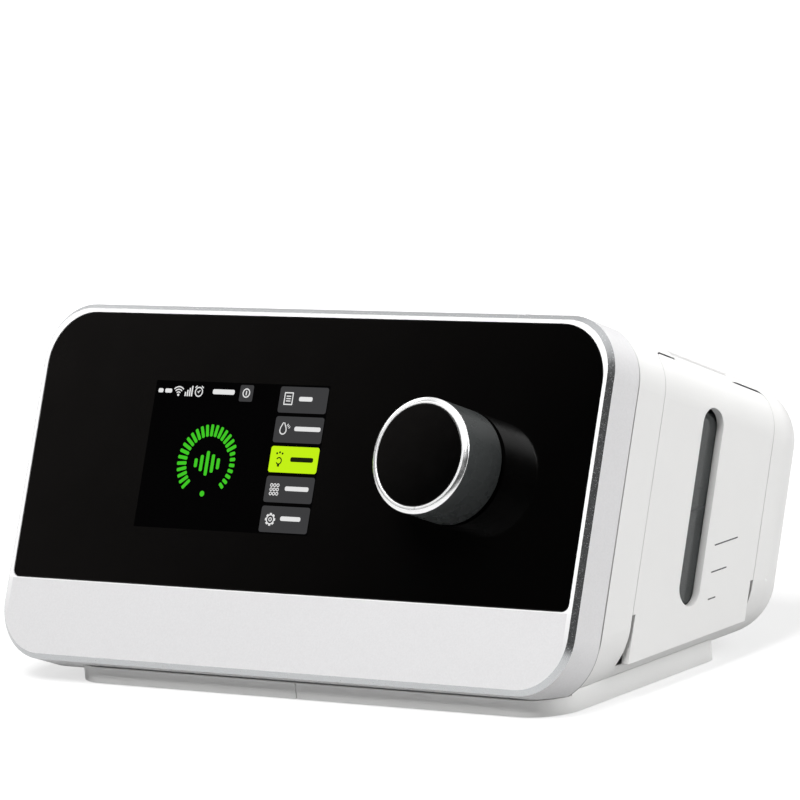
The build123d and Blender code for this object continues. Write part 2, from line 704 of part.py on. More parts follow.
with BuildPart() as tank_lid:
    add(tank_outer)
    add(tank_inner, mode=Mode.SUBTRACT)
    split(bisect_by=Plane.XY.offset(SPLIT_Z), keep=Keep.TOP)
    # air tubes that run in from the two ports at the inner end
    for u, reach in ((INLET_U, 70), (OUTLET_U, 34)):
        with BuildSketch(on_end(u, PORT_V, TANK_LEFT + 1)):
            Circle(9.6)
        extrude(amount=reach)
    for u, reach in ((INLET_U, 71), (OUTLET_U, 35)):
        with BuildSketch(on_end(u, PORT_V, TANK_LEFT - 1)):
            Circle(8.2)
        extrude(amount=reach + 2, mode=Mode.SUBTRACT)
save(tank_lid.part, "tank_lid")

with BuildPart() as tank_gasket:
    add(tank_outer)
    add(tank_inner, mode=Mode.SUBTRACT)
    split(bisect_by=Plane.XY.offset(SPLIT_Z), keep=Keep.BOTTOM)
    split(bisect_by=Plane.XY.offset(SPLIT_Z - 0.8), keep=Keep.TOP)
save(tank_gasket.part, "tank_gasket")

# end cap: part of the housing's skin, with a slot and a straight skirt
skin_outer = leaning(BAND + 0.5, REAR_U, -80, TOP_V, 60, HALF, CORNER, True)
skin_inner = leaning(BAND - 1, REAR_U - WALL, -90, TOP_V - WALL, 50, HALF - WALL, CORNER - WALL, True)
TURN_FRONT, TURN_REAR = 30.7, 27.6     # tops of the slits beside the skirt

with BuildPart() as cap_prism:
    with BuildSketch(SIDE.offset(110)) as region:
        with BuildLine():
            Polyline(
                (BAY_FRONT + BAY_GAP, level(BAY_FRONT, TURN_FRONT)),
                (BAY_REAR - BAY_GAP, level(BAY_REAR, TURN_REAR)),
                (BAY_REAR - BAY_GAP, BAY_TOP_V - BAY_GAP),
                (BAY_FRONT + BAY_GAP, BAY_TOP_V - BAY_GAP),
                close=True,
            )
        make_face()
        with BuildLine():
            Polyline(
                (BAY_FRONT + 1.8, level(BAY_FRONT + 1.8, SKIRT_Z)),
                (BAY_REAR - 1.7, level(BAY_REAR - 1.7, SKIRT_Z)),
                (BAY_REAR - 1.7, level(BAY_REAR, TURN_REAR + 1)),
                (BAY_FRONT + 1.8, level(BAY_FRONT, TURN_FRONT + 1)),
                close=True,
            )
        make_face()
        fillet(region.vertices().group_by(Axis.Y)[-1], radius=4.4)
    extrude(amount=40)

with BuildPart() as tank_end_cap:
    add(skin_outer)
    add(skin_inner, mode=Mode.SUBTRACT)
    add(cap_prism.part, mode=Mode.INTERSECT)
    # keep only what lies outside the release key
    with BuildSketch(SIDE.offset(50)):
        Rectangle(600, 600)
    extrude(amount=127.95 - 50, mode=Mode.SUBTRACT)
    with BuildSketch(SIDE.offset(120)):
        with Locations((SLOT_U, SLOT_V)):
            SlotOverall(SLOT_LONG, SLOT_WIDE, rotation=90)
    extrude(amount=30, mode=Mode.SUBTRACT)
save(tank_end_cap.part, "tank_end_cap")

# ---- tank release key ---------------------------------------------------
key_skin = leaning(BAND, REAR_U, -80, TOP_V - 0.6, 60, HALF - 0.4, CORNER - 0.4, True)
with BuildPart() as tank_release_key:
    with BuildSketch(SIDE.offset(123.1)):
        with Locations((SLOT_U + 1, 104.5)):
            Rectangle(39, 7)
    extrude(amount=4.5)
    add(key_skin, mode=Mode.INTERSECT)
    with BuildSketch(SIDE.offset(121.6)):
        with Locations((SLOT_U + 1, 101.2)):
            Rectangle(44, 1.6)
    extrude(amount=5.2)
save(tank_release_key.part, "tank_release_key")

with BuildPart() as key_spring:
    seat = Plane(world(125.2, SLOT_U + 1, LINER_TOP + 2.3), x_dir=(1, 0, 0), z_dir=(0, SIN, COS))
    add(coil(1.6, 0.3, 6.8, 4).locate(Location(seat)))
save(key_spring.part, "key_spring")

# ---- blower -------------------------------------------------------------
SPOUT_Y, SPOUT_Z = BLOWER_Y - 26.0, 32.0
BLOWER_AT = (BLOWER_X, BLOWER_Y)

with BuildPart() as volute:
    with BuildSketch(Plane.XY.offset(BLOWER_Z0)):
        with Locations(BLOWER_AT):
            Circle(BLOWER_R)
    extrude(amount=BLOWER_Z1 - BLOWER_Z0)
    fillet(volute.edges().group_by(Axis.Z)[-1], radius=5)
    with BuildSketch(Plane.YZ.offset(BLOWER_X)):
        with Locations((SPOUT_Y, SPOUT_Z)):
            Circle(10)
    extrude(amount=38)
    with BuildSketch(Plane.XY.offset(BLOWER_Z0 + 2)):
        with Locations(BLOWER_AT):
            Circle(BLOWER_R - 2)
    extrude(amount=BLOWER_Z1 - BLOWER_Z0 - 4, mode=Mode.SUBTRACT)
    with BuildSketch(Plane.YZ.offset(BLOWER_X)):
        with Locations((SPOUT_Y, SPOUT_Z)):
            Circle(8)
    extrude(amount=40, mode=Mode.SUBTRACT)

with BuildPart() as blower_lower:
    add(volute.part)
    split(bisect_by=Plane.XY.offset(SPOUT_Z), keep=Keep.BOTTOM)
    with BuildSketch(Plane.XY.offset(BLOWER_Z0)):
        with Locations(BLOWER_AT):
            Circle(17.5)
            Circle(15.1, mode=Mode.SUBTRACT)
    extrude(amount=5)
save(blower_lower.part, "blower_lower")

with BuildPart() as blower_upper:
    add(volute.part)
    split(bisect_by=Plane.XY.offset(SPOUT_Z), keep=Keep.TOP)
    with BuildSketch(Plane.XY.offset(BLOWER_Z1 - 6)):
        with Locations(BLOWER_AT):
            Circle(14.5)
    extrude(amount=9)
    with BuildSketch(Plane.XY.offset(BLOWER_Z1 - 8)):
        with Locations(BLOWER_AT):
            Circle(12.5)
    extrude(amount=14, mode=Mode.SUBTRACT)
save(blower_upper.part, "blower_upper")

with BuildPart() as motor_can:
    with BuildSketch(Plane.XY.offset(BLOWER_Z0 + 2)):
        with Locations(BLOWER_AT):
            Circle(15)
    extrude(amount=12)
    fillet(motor_can.edges().group_by(Axis.Z)[-1], radius=1.5)
    with BuildSketch(Plane.XY.offset(BLOWER_Z0 + 5)):
        with Locations(BLOWER_AT):
            Circle(11)
    extrude(amount=6, mode=Mode.SUBTRACT)
    with BuildSketch(Plane.XY.offset(BLOWER_Z0 + 2)):
        with Locations(BLOWER_AT):
            Circle(4)
    extrude(amount=12, mode=Mode.SUBTRACT)
save(motor_can.part, "motor_can")

with BuildPart() as motor_bearings:
    for z in (BLOWER_Z0 + 2.5, BLOWER_Z0 + 11.3):
        with BuildSketch(Plane.XY.offset(z)):
            with Locations(BLOWER_AT):
                Circle(4)
                Circle(1.55, mode=Mode.SUBTRACT)
        extrude(amount=2.4)
save(motor_bearings.part, "motor_bearings")

with BuildPart() as motor_shaft:
    with BuildSketch(Plane.XY.offset(BLOWER_Z0 + 2.6)):
        with Locations(BLOWER_AT):
            Circle(1.5)
    extrude(amount=20)
save(motor_shaft.part, "motor_shaft")

with BuildPart() as motor_rotor:
    with BuildSketch(Plane.XY.offset(BLOWER_Z0 + 5.4)):
        with Locations(BLOWER_AT):
            Circle(9.5)
            Circle(1.5, mode=Mode.SUBTRACT)
    extrude(amount=5.2)
save(motor_rotor.part, "motor_rotor")

IMPELLER_Z = BLOWER_Z0 + 16.0
with BuildPart() as blade:
    with BuildSketch(Plane.XY.offset(IMPELLER_Z + 1)):
        with BuildLine():
            face = ThreePointArc((4.2, 0), (15, 3.4), (26.6, 0))
            back = ThreePointArc((26.6, 1.2), (15, 4.6), (4.2, 1.2))
            Line(face @ 1, back @ 0)
            Line(back @ 1, face @ 0)
        make_face()
    extrude(amount=6)

with BuildPart() as impeller:
    with BuildSketch(Plane.XY.offset(IMPELLER_Z)):
        with Locations(BLOWER_AT):
            Circle(27)
    extrude(amount=1.4)
    with BuildSketch(Plane.XY.offset(IMPELLER_Z)):
        with Locations(BLOWER_AT):
            Circle(5)
    extrude(amount=7)
    with Locations(BLOWER_AT):
        with PolarLocations(0, 9):
            add(blade.part)
    with BuildSketch(Plane.XY.offset(IMPELLER_Z - 1)):
        with Locations(BLOWER_AT):
            Circle(1.5)
    extrude(amount=10, mode=Mode.SUBTRACT)
save(impeller.part, "impeller")

with BuildPart() as blower_mounts:
    with BuildSketch(Plane.XY.offset(FLOOR_Z)):
        with Locations(BLOWER_AT):
            with PolarLocations(28, 3, start_angle=30):
                Circle(5)
    extrude(amount=BLOWER_Z0 - FLOOR_Z)
save(blower_mounts.part, "blower_mounts")

# ---- air path -----------------------------------------------------------
INLET_AT = world(LINER_END - 2, INLET_U, PORT_V)
OUTLET_AT = world(LINER_END - 2, OUTLET_U, PORT_V)
SPOUT_X = BLOWER_X + 38.0

with BuildPart() as tank_feed:
    with BuildLine() as duct_path:
        a = (SPOUT_X, SPOUT_Y, SPOUT_Z)
        Polyline(
            a, (SPOUT_X + 15, SPOUT_Y, SPOUT_Z),
            (SPOUT_X + 15, INLET_AT[1], INLET_AT[2]), INLET_AT,
        )
        fillet(duct_path.vertices().sort_by(Axis.X)[1:3], radius=12)
    with BuildSketch(Plane(origin=a, z_dir=(1, 0, 0))):
        Circle(10.0)
    sweep()
    with BuildSketch(Plane(origin=a, z_dir=(1, 0, 0))):
        Circle(8.6)
    sweep(path=duct_path.line, mode=Mode.SUBTRACT)

# an elbow on the blower's spout and a duct to the tank meet halfway up
JOINT = Plane(
    origin=(SPOUT_X + 15, (SPOUT_Y + INLET_AT[1]) / 2, (SPOUT_Z + INLET_AT[2]) / 2),
    x_dir=(1, 0, 0),
    z_dir=(0, INLET_AT[1] - SPOUT_Y, INLET_AT[2] - SPOUT_Z),
)
with BuildPart() as blower_elbow:
    add(tank_feed.part)
    split(bisect_by=JOINT, keep=Keep.BOTTOM)
save(blower_elbow.part, "blower_elbow")

with BuildPart() as blower_duct:
    add(tank_feed.part)
    split(bisect_by=JOINT, keep=Keep.TOP)
save(blower_duct.part, "blower_duct")

with BuildPart() as outlet_duct:
    with BuildLine() as out_path:
        far = world(REAR_X, REAR_U - WALL - 0.2, PORT_V)
        bend = world(REAR_X, OUTLET_U, PORT_V)
        Polyline(OUTLET_AT, bend, far)
        fillet(out_path.vertices().sort_by_distance(bend)[0], radius=12)
    with BuildSketch(Plane(origin=OUTLET_AT, z_dir=(-1, 0, 0))):
        Circle(10.0)
    sweep()
    with BuildSketch(Plane(origin=OUTLET_AT, z_dir=(-1, 0, 0))):
        Circle(8.2)
    sweep(path=out_path.line, mode=Mode.SUBTRACT)
save(outlet_duct.part, "outlet_duct")

# the hose port: 22 mm across, tapering over its last few millimetres
with BuildPart() as air_outlet_port:
    with BuildSketch(on_rear(REAR_X, PORT_V, REAR_U - WALL - 0.2)):
        Circle(10.5)
    extrude(amount=WALL + 0.3)
    with BuildSketch(on_rear(REAR_X, PORT_V)):
        Circle(13.6)
    extrude(amount=1.6)
    with BuildSketch(on_rear(REAR_X, PORT_V)):
        Circle(HOSE_R)
    extrude(amount=17)
    with BuildSketch(on_rear(REAR_X, PORT_V, REAR_U + 17)):
        Circle(HOSE_R)
    extrude(amount=4, taper=4)
    with BuildSketch(on_rear(REAR_X, PORT_V, REAR_U - 10)):
        Circle(8.4)
    extrude(amount=40, mode=Mode.SUBTRACT)
save(air_outlet_port.part, "air_outlet_port")

SIL_FRONT, SIL_REAR, SIL_LOW, SIL_HIGH = 44.0, 117.8, 69.0, 101.0
SIL_LEFT, SIL_RIGHT = -88.0, -28.0
with BuildPart() as inlet_silencer:
    with BuildSketch(SIDE.offset(SIL_LEFT)) as section:
        with BuildLine():
            Polyline(
                (SIL_FRONT, SIL_LOW), (SIL_REAR, SIL_LOW), (SIL_REAR, SIL_HIGH),
                (SIL_FRONT, SIL_HIGH), close=True,
            )
        make_face()
    extrude(amount=SIL_RIGHT - SIL_LEFT)
    fillet(inlet_silencer.edges(), radius=4)
    # winding air way: in from the filter, down to the blower
    with BuildSketch(on_rear(FILTER_X - 14, 84, SIL_REAR + 1)):
        Circle(9)
    extrude(amount=-38, mode=Mode.SUBTRACT)
    with BuildSketch(Plane.XY.offset(BLOWER_Z1)):
        with Locations(BLOWER_AT):
            Circle(10)
    extrude(amount=36, mode=Mode.SUBTRACT)
save(inlet_silencer.part, "inlet_silencer")

with BuildPart() as inlet_boot:
    with BuildSketch(Plane.XY.offset(BLOWER_Z1 + 3)):
        with Locations(BLOWER_AT):
            Circle(14)
            Circle(11.5, mode=Mode.SUBTRACT)
    extrude(amount=40)
    with BuildSketch(SIDE.offset(-140)):
        with Locations((90, SIL_LOW - 0.1 + 50)):
            Rectangle(200, 100)
    extrude(amount=140, mode=Mode.SUBTRACT)
save(inlet_boot.part, "inlet_boot")

# ---- filter at the rear -------------------------------------------------
TRAY_W, TRAY_H = 52.0, 36.0
with BuildPart() as filter_tray:
    with BuildSketch(on_rear(FILTER_X, FILTER_V, REAR_U - WALL - 0.2)):
        RectangleRounded(60, 42, 3)
    extrude(amount=-15)
    with BuildSketch(on_rear(FILTER_X, FILTER_V, REAR_U)):
        Rectangle(TRAY_W, TRAY_H)
    extrude(amount=-16.4, mode=Mode.SUBTRACT)
    with BuildSketch(on_rear(FILTER_X, FILTER_V, REAR_U)):
        with GridLocations(12, 1, 4, 1):
            SlotOverall(28, 8, rotation=90)
    extrude(amount=-30, mode=Mode.SUBTRACT)
save(filter_tray.part, "filter_tray")

with BuildPart() as filter_pad:
    with BuildSketch(on_rear(FILTER_X, FILTER_V, REAR_U - 10)):
        Rectangle(TRAY_W - 1, TRAY_H - 1)
    extrude(amount=-6)
save(filter_pad.part, "filter_pad")

with BuildPart() as filter_cover:
    with BuildSketch(on_rear(FILTER_X, FILTER_V, REAR_U - 2.4)):
        RectangleRounded(54, 38, 2.7)
    extrude(amount=2.4)
    fillet(filter_cover.faces().sort_by(OUT)[0].edges(), radius=0.8)
    with BuildSketch(on_rear(FILTER_X, FILTER_V + 1, REAR_U)):
        with GridLocations(1, 4.6, 1, 6):
            SlotOverall(42, 2)
    extrude(amount=-6, mode=Mode.SUBTRACT)
    # pivots
    for x in (FILTER_X - 28.4, FILTER_X + 26.0):
        with BuildSketch(SIDE.offset(x)):
            with Locations((PIVOT_U, PIVOT_V)):
                Circle(0.8)
        extrude(amount=2.4)
save(filter_cover.part, "filter_cover")

# ---- electronics --------------------------------------------------------
with BuildPart() as main_board:
    with BuildSketch(SIDE.offset(BOARD_X)):
        with Locations((90, 66)):
            Rectangle(80, 52)
    extrude(amount=1.6)
    with BuildSketch(SIDE.offset(BOARD_X + 1.6)):
        with Locations((62, 78)):
            Rectangle(16, 16)
        with Locations((66, 54)):
            Rectangle(10, 12)
        with Locations((84, 80)):
            Rectangle(9, 9)
    extrude(amount=2.4)
    with BuildSketch(SIDE.offset(BOARD_X + 1.6)):
        with Locations((84, 52), (96, 50)):
            Circle(4)
    extrude(amount=9)
save(main_board.part, "main_board")

with BuildPart() as dc_socket:
    with BuildSketch(on_rear(DC_X, DC_V, REAR_U)):
        RectangleRounded(11, 11, 1.4)
    extrude(amount=-15)
    with BuildSketch(on_rear(DC_X, DC_V, REAR_U)):
        Circle(3.2)
    extrude(amount=-11, mode=Mode.SUBTRACT)
    with BuildSketch(on_rear(DC_X, DC_V, REAR_U - 12)):
        Circle(1.0)
    extrude(amount=11)
save(dc_socket.part, "dc_socket")

with BuildPart() as card_socket:
    with BuildSketch(on_rear(CARD_X, CARD_V, REAR_U - WALL - 0.4)):
        Rectangle(6.4, 29)
    extrude(amount=-30)
    with BuildSketch(on_rear(CARD_X, CARD_V, REAR_U)):
        Rectangle(2.7, 24.6)
    extrude(amount=-31.4, mode=Mode.SUBTRACT)
save(card_socket.part, "card_socket")

with BuildPart() as memory_card:
    with BuildSketch(Plane(world(CARD_X - 1.05, REAR_U + 1.2, CARD_V), x_dir=INWARD, z_dir=(1, 0, 0))) as card:
        with Locations((-16, 0)):
            Rectangle(32, 24)
        chamfer(card.vertices().group_by(Axis.X)[0].sort_by(Axis.Y)[-1], length=4)
    extrude(amount=2.1)
save(memory_card.part, "memory_card")
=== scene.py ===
"""Bedside breathing machine: the looks of its housing, display, knob, tank and fittings."""

import json
from math import cos, pi, radians, sin

import bmesh
import bpy
from bpy.props import FloatProperty, FloatVectorProperty, IntProperty, PointerProperty
from bpy.types import Operator, Panel, PropertyGroup
from mathutils import Matrix, Vector

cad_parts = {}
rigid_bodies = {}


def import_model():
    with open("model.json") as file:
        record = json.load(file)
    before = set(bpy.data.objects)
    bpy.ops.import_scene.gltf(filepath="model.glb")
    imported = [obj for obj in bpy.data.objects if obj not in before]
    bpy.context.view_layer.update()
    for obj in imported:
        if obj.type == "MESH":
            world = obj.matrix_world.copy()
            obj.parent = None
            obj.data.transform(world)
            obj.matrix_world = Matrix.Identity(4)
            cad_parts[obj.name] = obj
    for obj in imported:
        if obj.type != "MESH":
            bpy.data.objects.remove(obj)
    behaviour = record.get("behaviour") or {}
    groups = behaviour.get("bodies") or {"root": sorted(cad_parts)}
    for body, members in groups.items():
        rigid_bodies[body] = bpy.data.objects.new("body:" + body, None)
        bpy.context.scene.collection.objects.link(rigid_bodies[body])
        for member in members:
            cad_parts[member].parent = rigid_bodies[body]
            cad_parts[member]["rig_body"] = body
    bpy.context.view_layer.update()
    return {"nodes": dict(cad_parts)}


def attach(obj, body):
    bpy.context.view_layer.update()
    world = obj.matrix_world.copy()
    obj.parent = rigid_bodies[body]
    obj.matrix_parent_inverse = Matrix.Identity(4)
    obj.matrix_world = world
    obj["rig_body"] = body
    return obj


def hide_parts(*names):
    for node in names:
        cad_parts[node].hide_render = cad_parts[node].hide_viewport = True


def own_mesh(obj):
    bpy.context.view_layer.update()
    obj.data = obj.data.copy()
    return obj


bl_info = {
    "name": "Bedside Breathing Machine",
    "version": (1, 0, 0),
    "blender": (4, 5, 0),
    "location": "View3D > Sidebar > Breathing Machine",
    "description": "Builds the finishes, display picture, knob, tank marks and studio of the machine",
    "category": "Object",
}

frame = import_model()

MM = 0.001
LEAN = radians(22.4)
S, C = sin(LEAN), cos(LEAN)
HEEL = Vector((0, -82.65, 38.7)) * MM  # middle of the lens's lower edge

# Local frames in millimetres. On the face: x across, y up the face, z outwards.
FACE = Matrix(((MM, 0, 0, 0), (0, S * MM, -C * MM, HEEL.y), (0, C * MM, S * MM, HEEL.z), (0, 0, 0, 1)))
# On the right side: x into the body, y up the face, z outwards to the right.
SIDE = Matrix(((0, 0, MM, 0), (C * MM, S * MM, 0, HEEL.y), (-S * MM, C * MM, 0, HEEL.z), (0, 0, 0, 1)))
# Upright: the machine's own axes.
UPRIGHT = Matrix.Scale(MM, 4)

KNOB = (72.0, 50.0)
BEAD_RADIUS = 19.8          # within this radius the knob's ring is its bead, painted bright as a painted highlight
LAND = 131.2                # from this far across outwards the frame is painted white beside the glass, a painted highlight of its polished edge
BAND = 17.3                 # depth of the frame behind the face
END_CAP_X = 135.0           # outer face of the tank's end cap
RECESS_Z = 0.668            # underside of the dark crosses painted as the screw recesses' shade, just below the screw heads
# The power inlet's pin on the right side's axes: outwards, up the face, and a depth short of its start.
PIN_OUT, PIN_UP, PIN_DEPTH = -108.9, 52.0, 123.0
# The floor's glow to the camera: its share near the machine, and the metres between which it grows to 1.
GLOW_NEAR, GLOW_FROM, GLOW_TO = 0.66, 0.3, 1.2
GLOW_MIRRORED = 0.5         # strength of the floor's glow in reflections
TILE_X, TILE_TOP, TILE_STEP = -2.95, 72.6, 11.3
TILE_WIDE, TILE_HIGH = 22.9, 9.9
SCREW_HEADS = (
    (-90, -50.65), (-90, -14.65), (-6, -50.65), (-6, -14.65),
    (20, -50.65), (20, -14.65), (115.2, -38.65), (115.2, -10.65),
)


# ---- settings ----------------------------------------------------------------

def colour(name, description, default):
    return FloatVectorProperty(
        name=name, description=description, default=default, size=3, min=0, max=1, subtype="COLOR")


def length(name, description, millimetres):
    return FloatProperty(
        name=name, description=description, default=millimetres * MM, min=0, unit="LENGTH", precision=5)


class MachineColours(PropertyGroup):
    shell: colour("Shell", "Satin white of housing and tank end cap", (0.86, 0.857, 0.848))
    frame: colour("Front frame", "Silver paint of the front frame", (0.73, 0.725, 0.733))
    cut_edge: colour("Cut edge", "Bright bevel round the front frame", (0.56, 0.57, 0.58))
    # painted highlight: the white of the polished land round the glass and of the knob's bead
    land: colour("Polished land", "White edge of the front frame round the glass", (0.95, 0.95, 0.95))
    glass: colour("Glass", "Black lens over the front", (0.0011, 0.001, 0.00095))
    tile: colour("Menu tile", "Unlit menu tiles on the display", (0.048, 0.048, 0.050))
    tile_lit: colour("Chosen tile", "Menu tile that is chosen", (0.56, 0.90, 0.008))
    icon: colour("Icons", "Icons and word bars on the display", (0.80, 0.80, 0.80))
    gauge: colour("Gauge", "Pressure gauge on the display", (0.055, 0.62, 0.02))
    barrel: colour("Knob barrel", "Dark sleeve of the knob", (0.05, 0.054, 0.054))
    ring: colour("Knob ring", "Turned metal ring of the knob", (0.93, 0.93, 0.93))
    foot: colour("Foot", "Pale grey of the foot and rear fittings", (0.9, 0.9, 0.89))
    smoke: colour("Smoked tank", "Tint of the water tank", (0.27, 0.29, 0.29))
    inner: colour("Inner plastic", "Dark plastic inside the body", (0.05, 0.052, 0.055))
    rubber: colour("Rubber", "Pads under the foot", (0.02, 0.02, 0.021))
    silicone: colour("Silicone", "Seals, ducts and mounts", (0.42, 0.45, 0.46))
    steel: colour("Steel", "Screws, springs, pan and shaft", (0.55, 0.55, 0.54))
    aluminium: colour("Aluminium", "Heater plate and motor can", (0.70, 0.71, 0.72))
    board: colour("Circuit board", "Solder mask of the boards", (0.008, 0.09, 0.035))
    felt: colour("Filter felt", "Filter pad", (0.72, 0.73, 0.70))
    card: colour("Memory card", "Body of the memory card", (0.015, 0.022, 0.05))
    # printed level lines, and also the painted shade in the screw recesses
    ink_and_recess_shade: colour("Level marks", "Printed lines beside the tank window", (0.06, 0.06, 0.06))


class MachineSizes(PropertyGroup):
    lift: length("Picture lift", "How far the display picture stands on the glass", 0.04)
    mark: length("Level mark width", "Width of the printed level lines", 0.5)
    edge: length("Broken edge", "Radius of the softened edges", 0.3)
    teeth: IntProperty(name="Gauge ticks", description="Ticks on the display's gauge", default=27, min=5)


class MachineStudio(PropertyGroup):
    lens: FloatProperty(name="Lens", description="Focal length in millimetres", default=241.4, min=20)
    ambient: FloatProperty(name="Room light", description="Even light from all round", default=0.02, min=0)
    top: FloatProperty(name="Top lamp", description="Soft box overhead", default=1, min=0, unit="POWER")
    front: FloatProperty(name="Front lamp", description="Soft box in front", default=57, min=0, unit="POWER")
    left: FloatProperty(name="Left lamp", description="Soft box at the left", default=6, min=0, unit="POWER")
    right: FloatProperty(
        name="Right lamp", description="Soft box at the right", default=24.5, min=0, unit="POWER")
    rear: FloatProperty(name="Rear lamp", description="Soft box behind", default=3, min=0, unit="POWER")
    floor: colour("Floor", "Pale table top", (0.36, 0.36, 0.36))


# ---- materials ---------------------------------------------------------------

class Nodes:
    """A node tree under construction, and short ways to add the usual nodes."""

    def __init__(self, tree):
        self.tree = tree
        tree.nodes.clear()

    def node(self, kind, **values):
        made = self.tree.nodes.new(kind)
        for key, value in values.items():
            setattr(made, key, value)
        return made

    def link(self, source, target):
        self.tree.links.new(source, target)

    def feed(self, value, socket):
        """Links a value to a socket, or sets the socket when the value is a plain number."""
        if isinstance(value, bpy.types.NodeSocket):
            self.link(value, socket)
        else:
            socket.default_value = value

    def maths(self, operation, *values):
        made = self.node("ShaderNodeMath", operation=operation)
        for value, socket in zip(values, made.inputs):
            self.feed(value, socket)
        return made.outputs[0]

    def ranged(self, value, low, high, start=0.3, end=0.7, **values):
        """A number that runs from low to high while the value runs from start to end."""
        made = self.node("ShaderNodeMapRange", **values)
        for socket, number in zip(made.inputs[1:5], (start, end, low, high)):
            socket.default_value = number
        self.link(value, made.inputs["Value"])
        return made.outputs["Result"]


class Finish(Nodes):
    """A material under construction: its nodes, and short ways to shape its surface."""

    def __init__(self, name, base, roughness, metallic=0.0, specular=0.5):
        self.material = bpy.data.materials.get(name) or bpy.data.materials.new(name)
        self.material.use_nodes = True
        super().__init__(self.material.node_tree)
        self.shader = self.node("ShaderNodeBsdfPrincipled")
        self.surface = self.node("ShaderNodeOutputMaterial").inputs["Surface"]
        self.link(self.shader.outputs[0], self.surface)
        self.base = (*base, 1)
        self.shader.inputs["Base Color"].default_value = self.base
        self.shader.inputs["Roughness"].default_value = roughness
        self.shader.inputs["Metallic"].default_value = metallic
        self.shader.inputs["Specular IOR Level"].default_value = specular
        self.material.diffuse_color = self.base
        self.place = self.node("ShaderNodeTexCoord").outputs["Object"]

    def face_place(self, x=0.0, y=0.0):
        """Coordinates on the leaning face: x across, y up, z outwards, from a point on it."""
        made = self.node("ShaderNodeMapping", vector_type="TEXTURE")
        made.inputs["Location"].default_value = FACE @ Vector((x, y, 0))
        made.inputs["Rotation"].default_value = (pi / 2 - LEAN, 0, 0)
        self.link(self.place, made.inputs["Vector"])
        return made.outputs["Vector"]

    def along(self, vector, direction):
        """How far a vector reaches along a direction."""
        made = self.node("ShaderNodeVectorMath", operation="DOT_PRODUCT")
        made.inputs[1].default_value = direction
        self.link(vector, made.inputs[0])
        return made.outputs["Value"]

    def between(self, factor, first, second):
        """A number that runs from first to second with the factor."""
        made = self.node("ShaderNodeMix", data_type="FLOAT")
        sockets = (made.inputs["Factor"], made.inputs[2], made.inputs[3])
        for value, socket in zip((factor, first, second), sockets):
            self.feed(value, socket)
        return made.outputs[0]

    def noise(self, millimetres, detail=2.0, stretch=None):
        """Noise whose grains are this many millimetres across."""
        made = self.node("ShaderNodeTexNoise")
        made.inputs["Scale"].default_value = 1 / (millimetres * MM)
        made.inputs["Detail"].default_value = detail
        source = self.place
        if stretch:
            mapping = self.node("ShaderNodeMapping")
            mapping.inputs["Scale"].default_value = stretch
            self.link(self.place, mapping.inputs["Vector"])
            source = mapping.outputs["Vector"]
        self.link(source, made.inputs["Vector"])
        return made.outputs["Fac"]

    def mixed(self, factor, first, second):
        made = self.node("ShaderNodeMix", data_type="RGBA")
        for socket, value in ((made.inputs[6], first), (made.inputs[7], second)):
            if isinstance(value, tuple):
                socket.default_value = value if len(value) == 4 else (*value, 1)
            else:
                self.link(value, socket)
        self.link(factor, made.inputs["Factor"])
        return made.outputs[2]

    def shade(self, share):
        return tuple(min(1.0, channel * share) for channel in self.base[:3]) + (1,)

    def tone(self, value, low, high):
        """Lets the colour run between two shades of itself."""
        self.link(self.mixed(value, self.shade(low), self.shade(high)), self.shader.inputs["Base Color"])

    def rough(self, value, low, high):
        self.link(self.ranged(value, low, high), self.shader.inputs["Roughness"])

    def relief(self, value, depth, edge=None):
        """Bump of this depth in millimetres, over edges broken by the given radius."""
        bump = self.node("ShaderNodeBump")
        bump.inputs["Distance"].default_value = depth * MM
        self.link(value, bump.inputs["Height"])
        if edge:
            bevel = self.node("ShaderNodeBevel", samples=6)
            bevel.inputs["Radius"].default_value = edge
            self.link(bevel.outputs["Normal"], bump.inputs["Normal"])
        self.link(bump.outputs["Normal"], self.shader.inputs["Normal"])
        return self


def moulded(name, base, roughness, grain, depth, edge=None):
    """Moulded plastic: eroded mould texture, faint flow marks and uneven gloss."""
    made = Finish(name, base, roughness)
    grain_noise = made.noise(grain, 3)
    made.tone(made.noise(34, 3), 0.975, 1.02)
    made.rough(made.noise(2.6, 4), roughness - 0.05, roughness + 0.06)
    made.relief(grain_noise, depth, edge)
    return made


def shell_finish(colours, sizes):
    return moulded("shell_satin_white", colours.shell, 0.34, 0.5, 0.004, sizes.edge).material


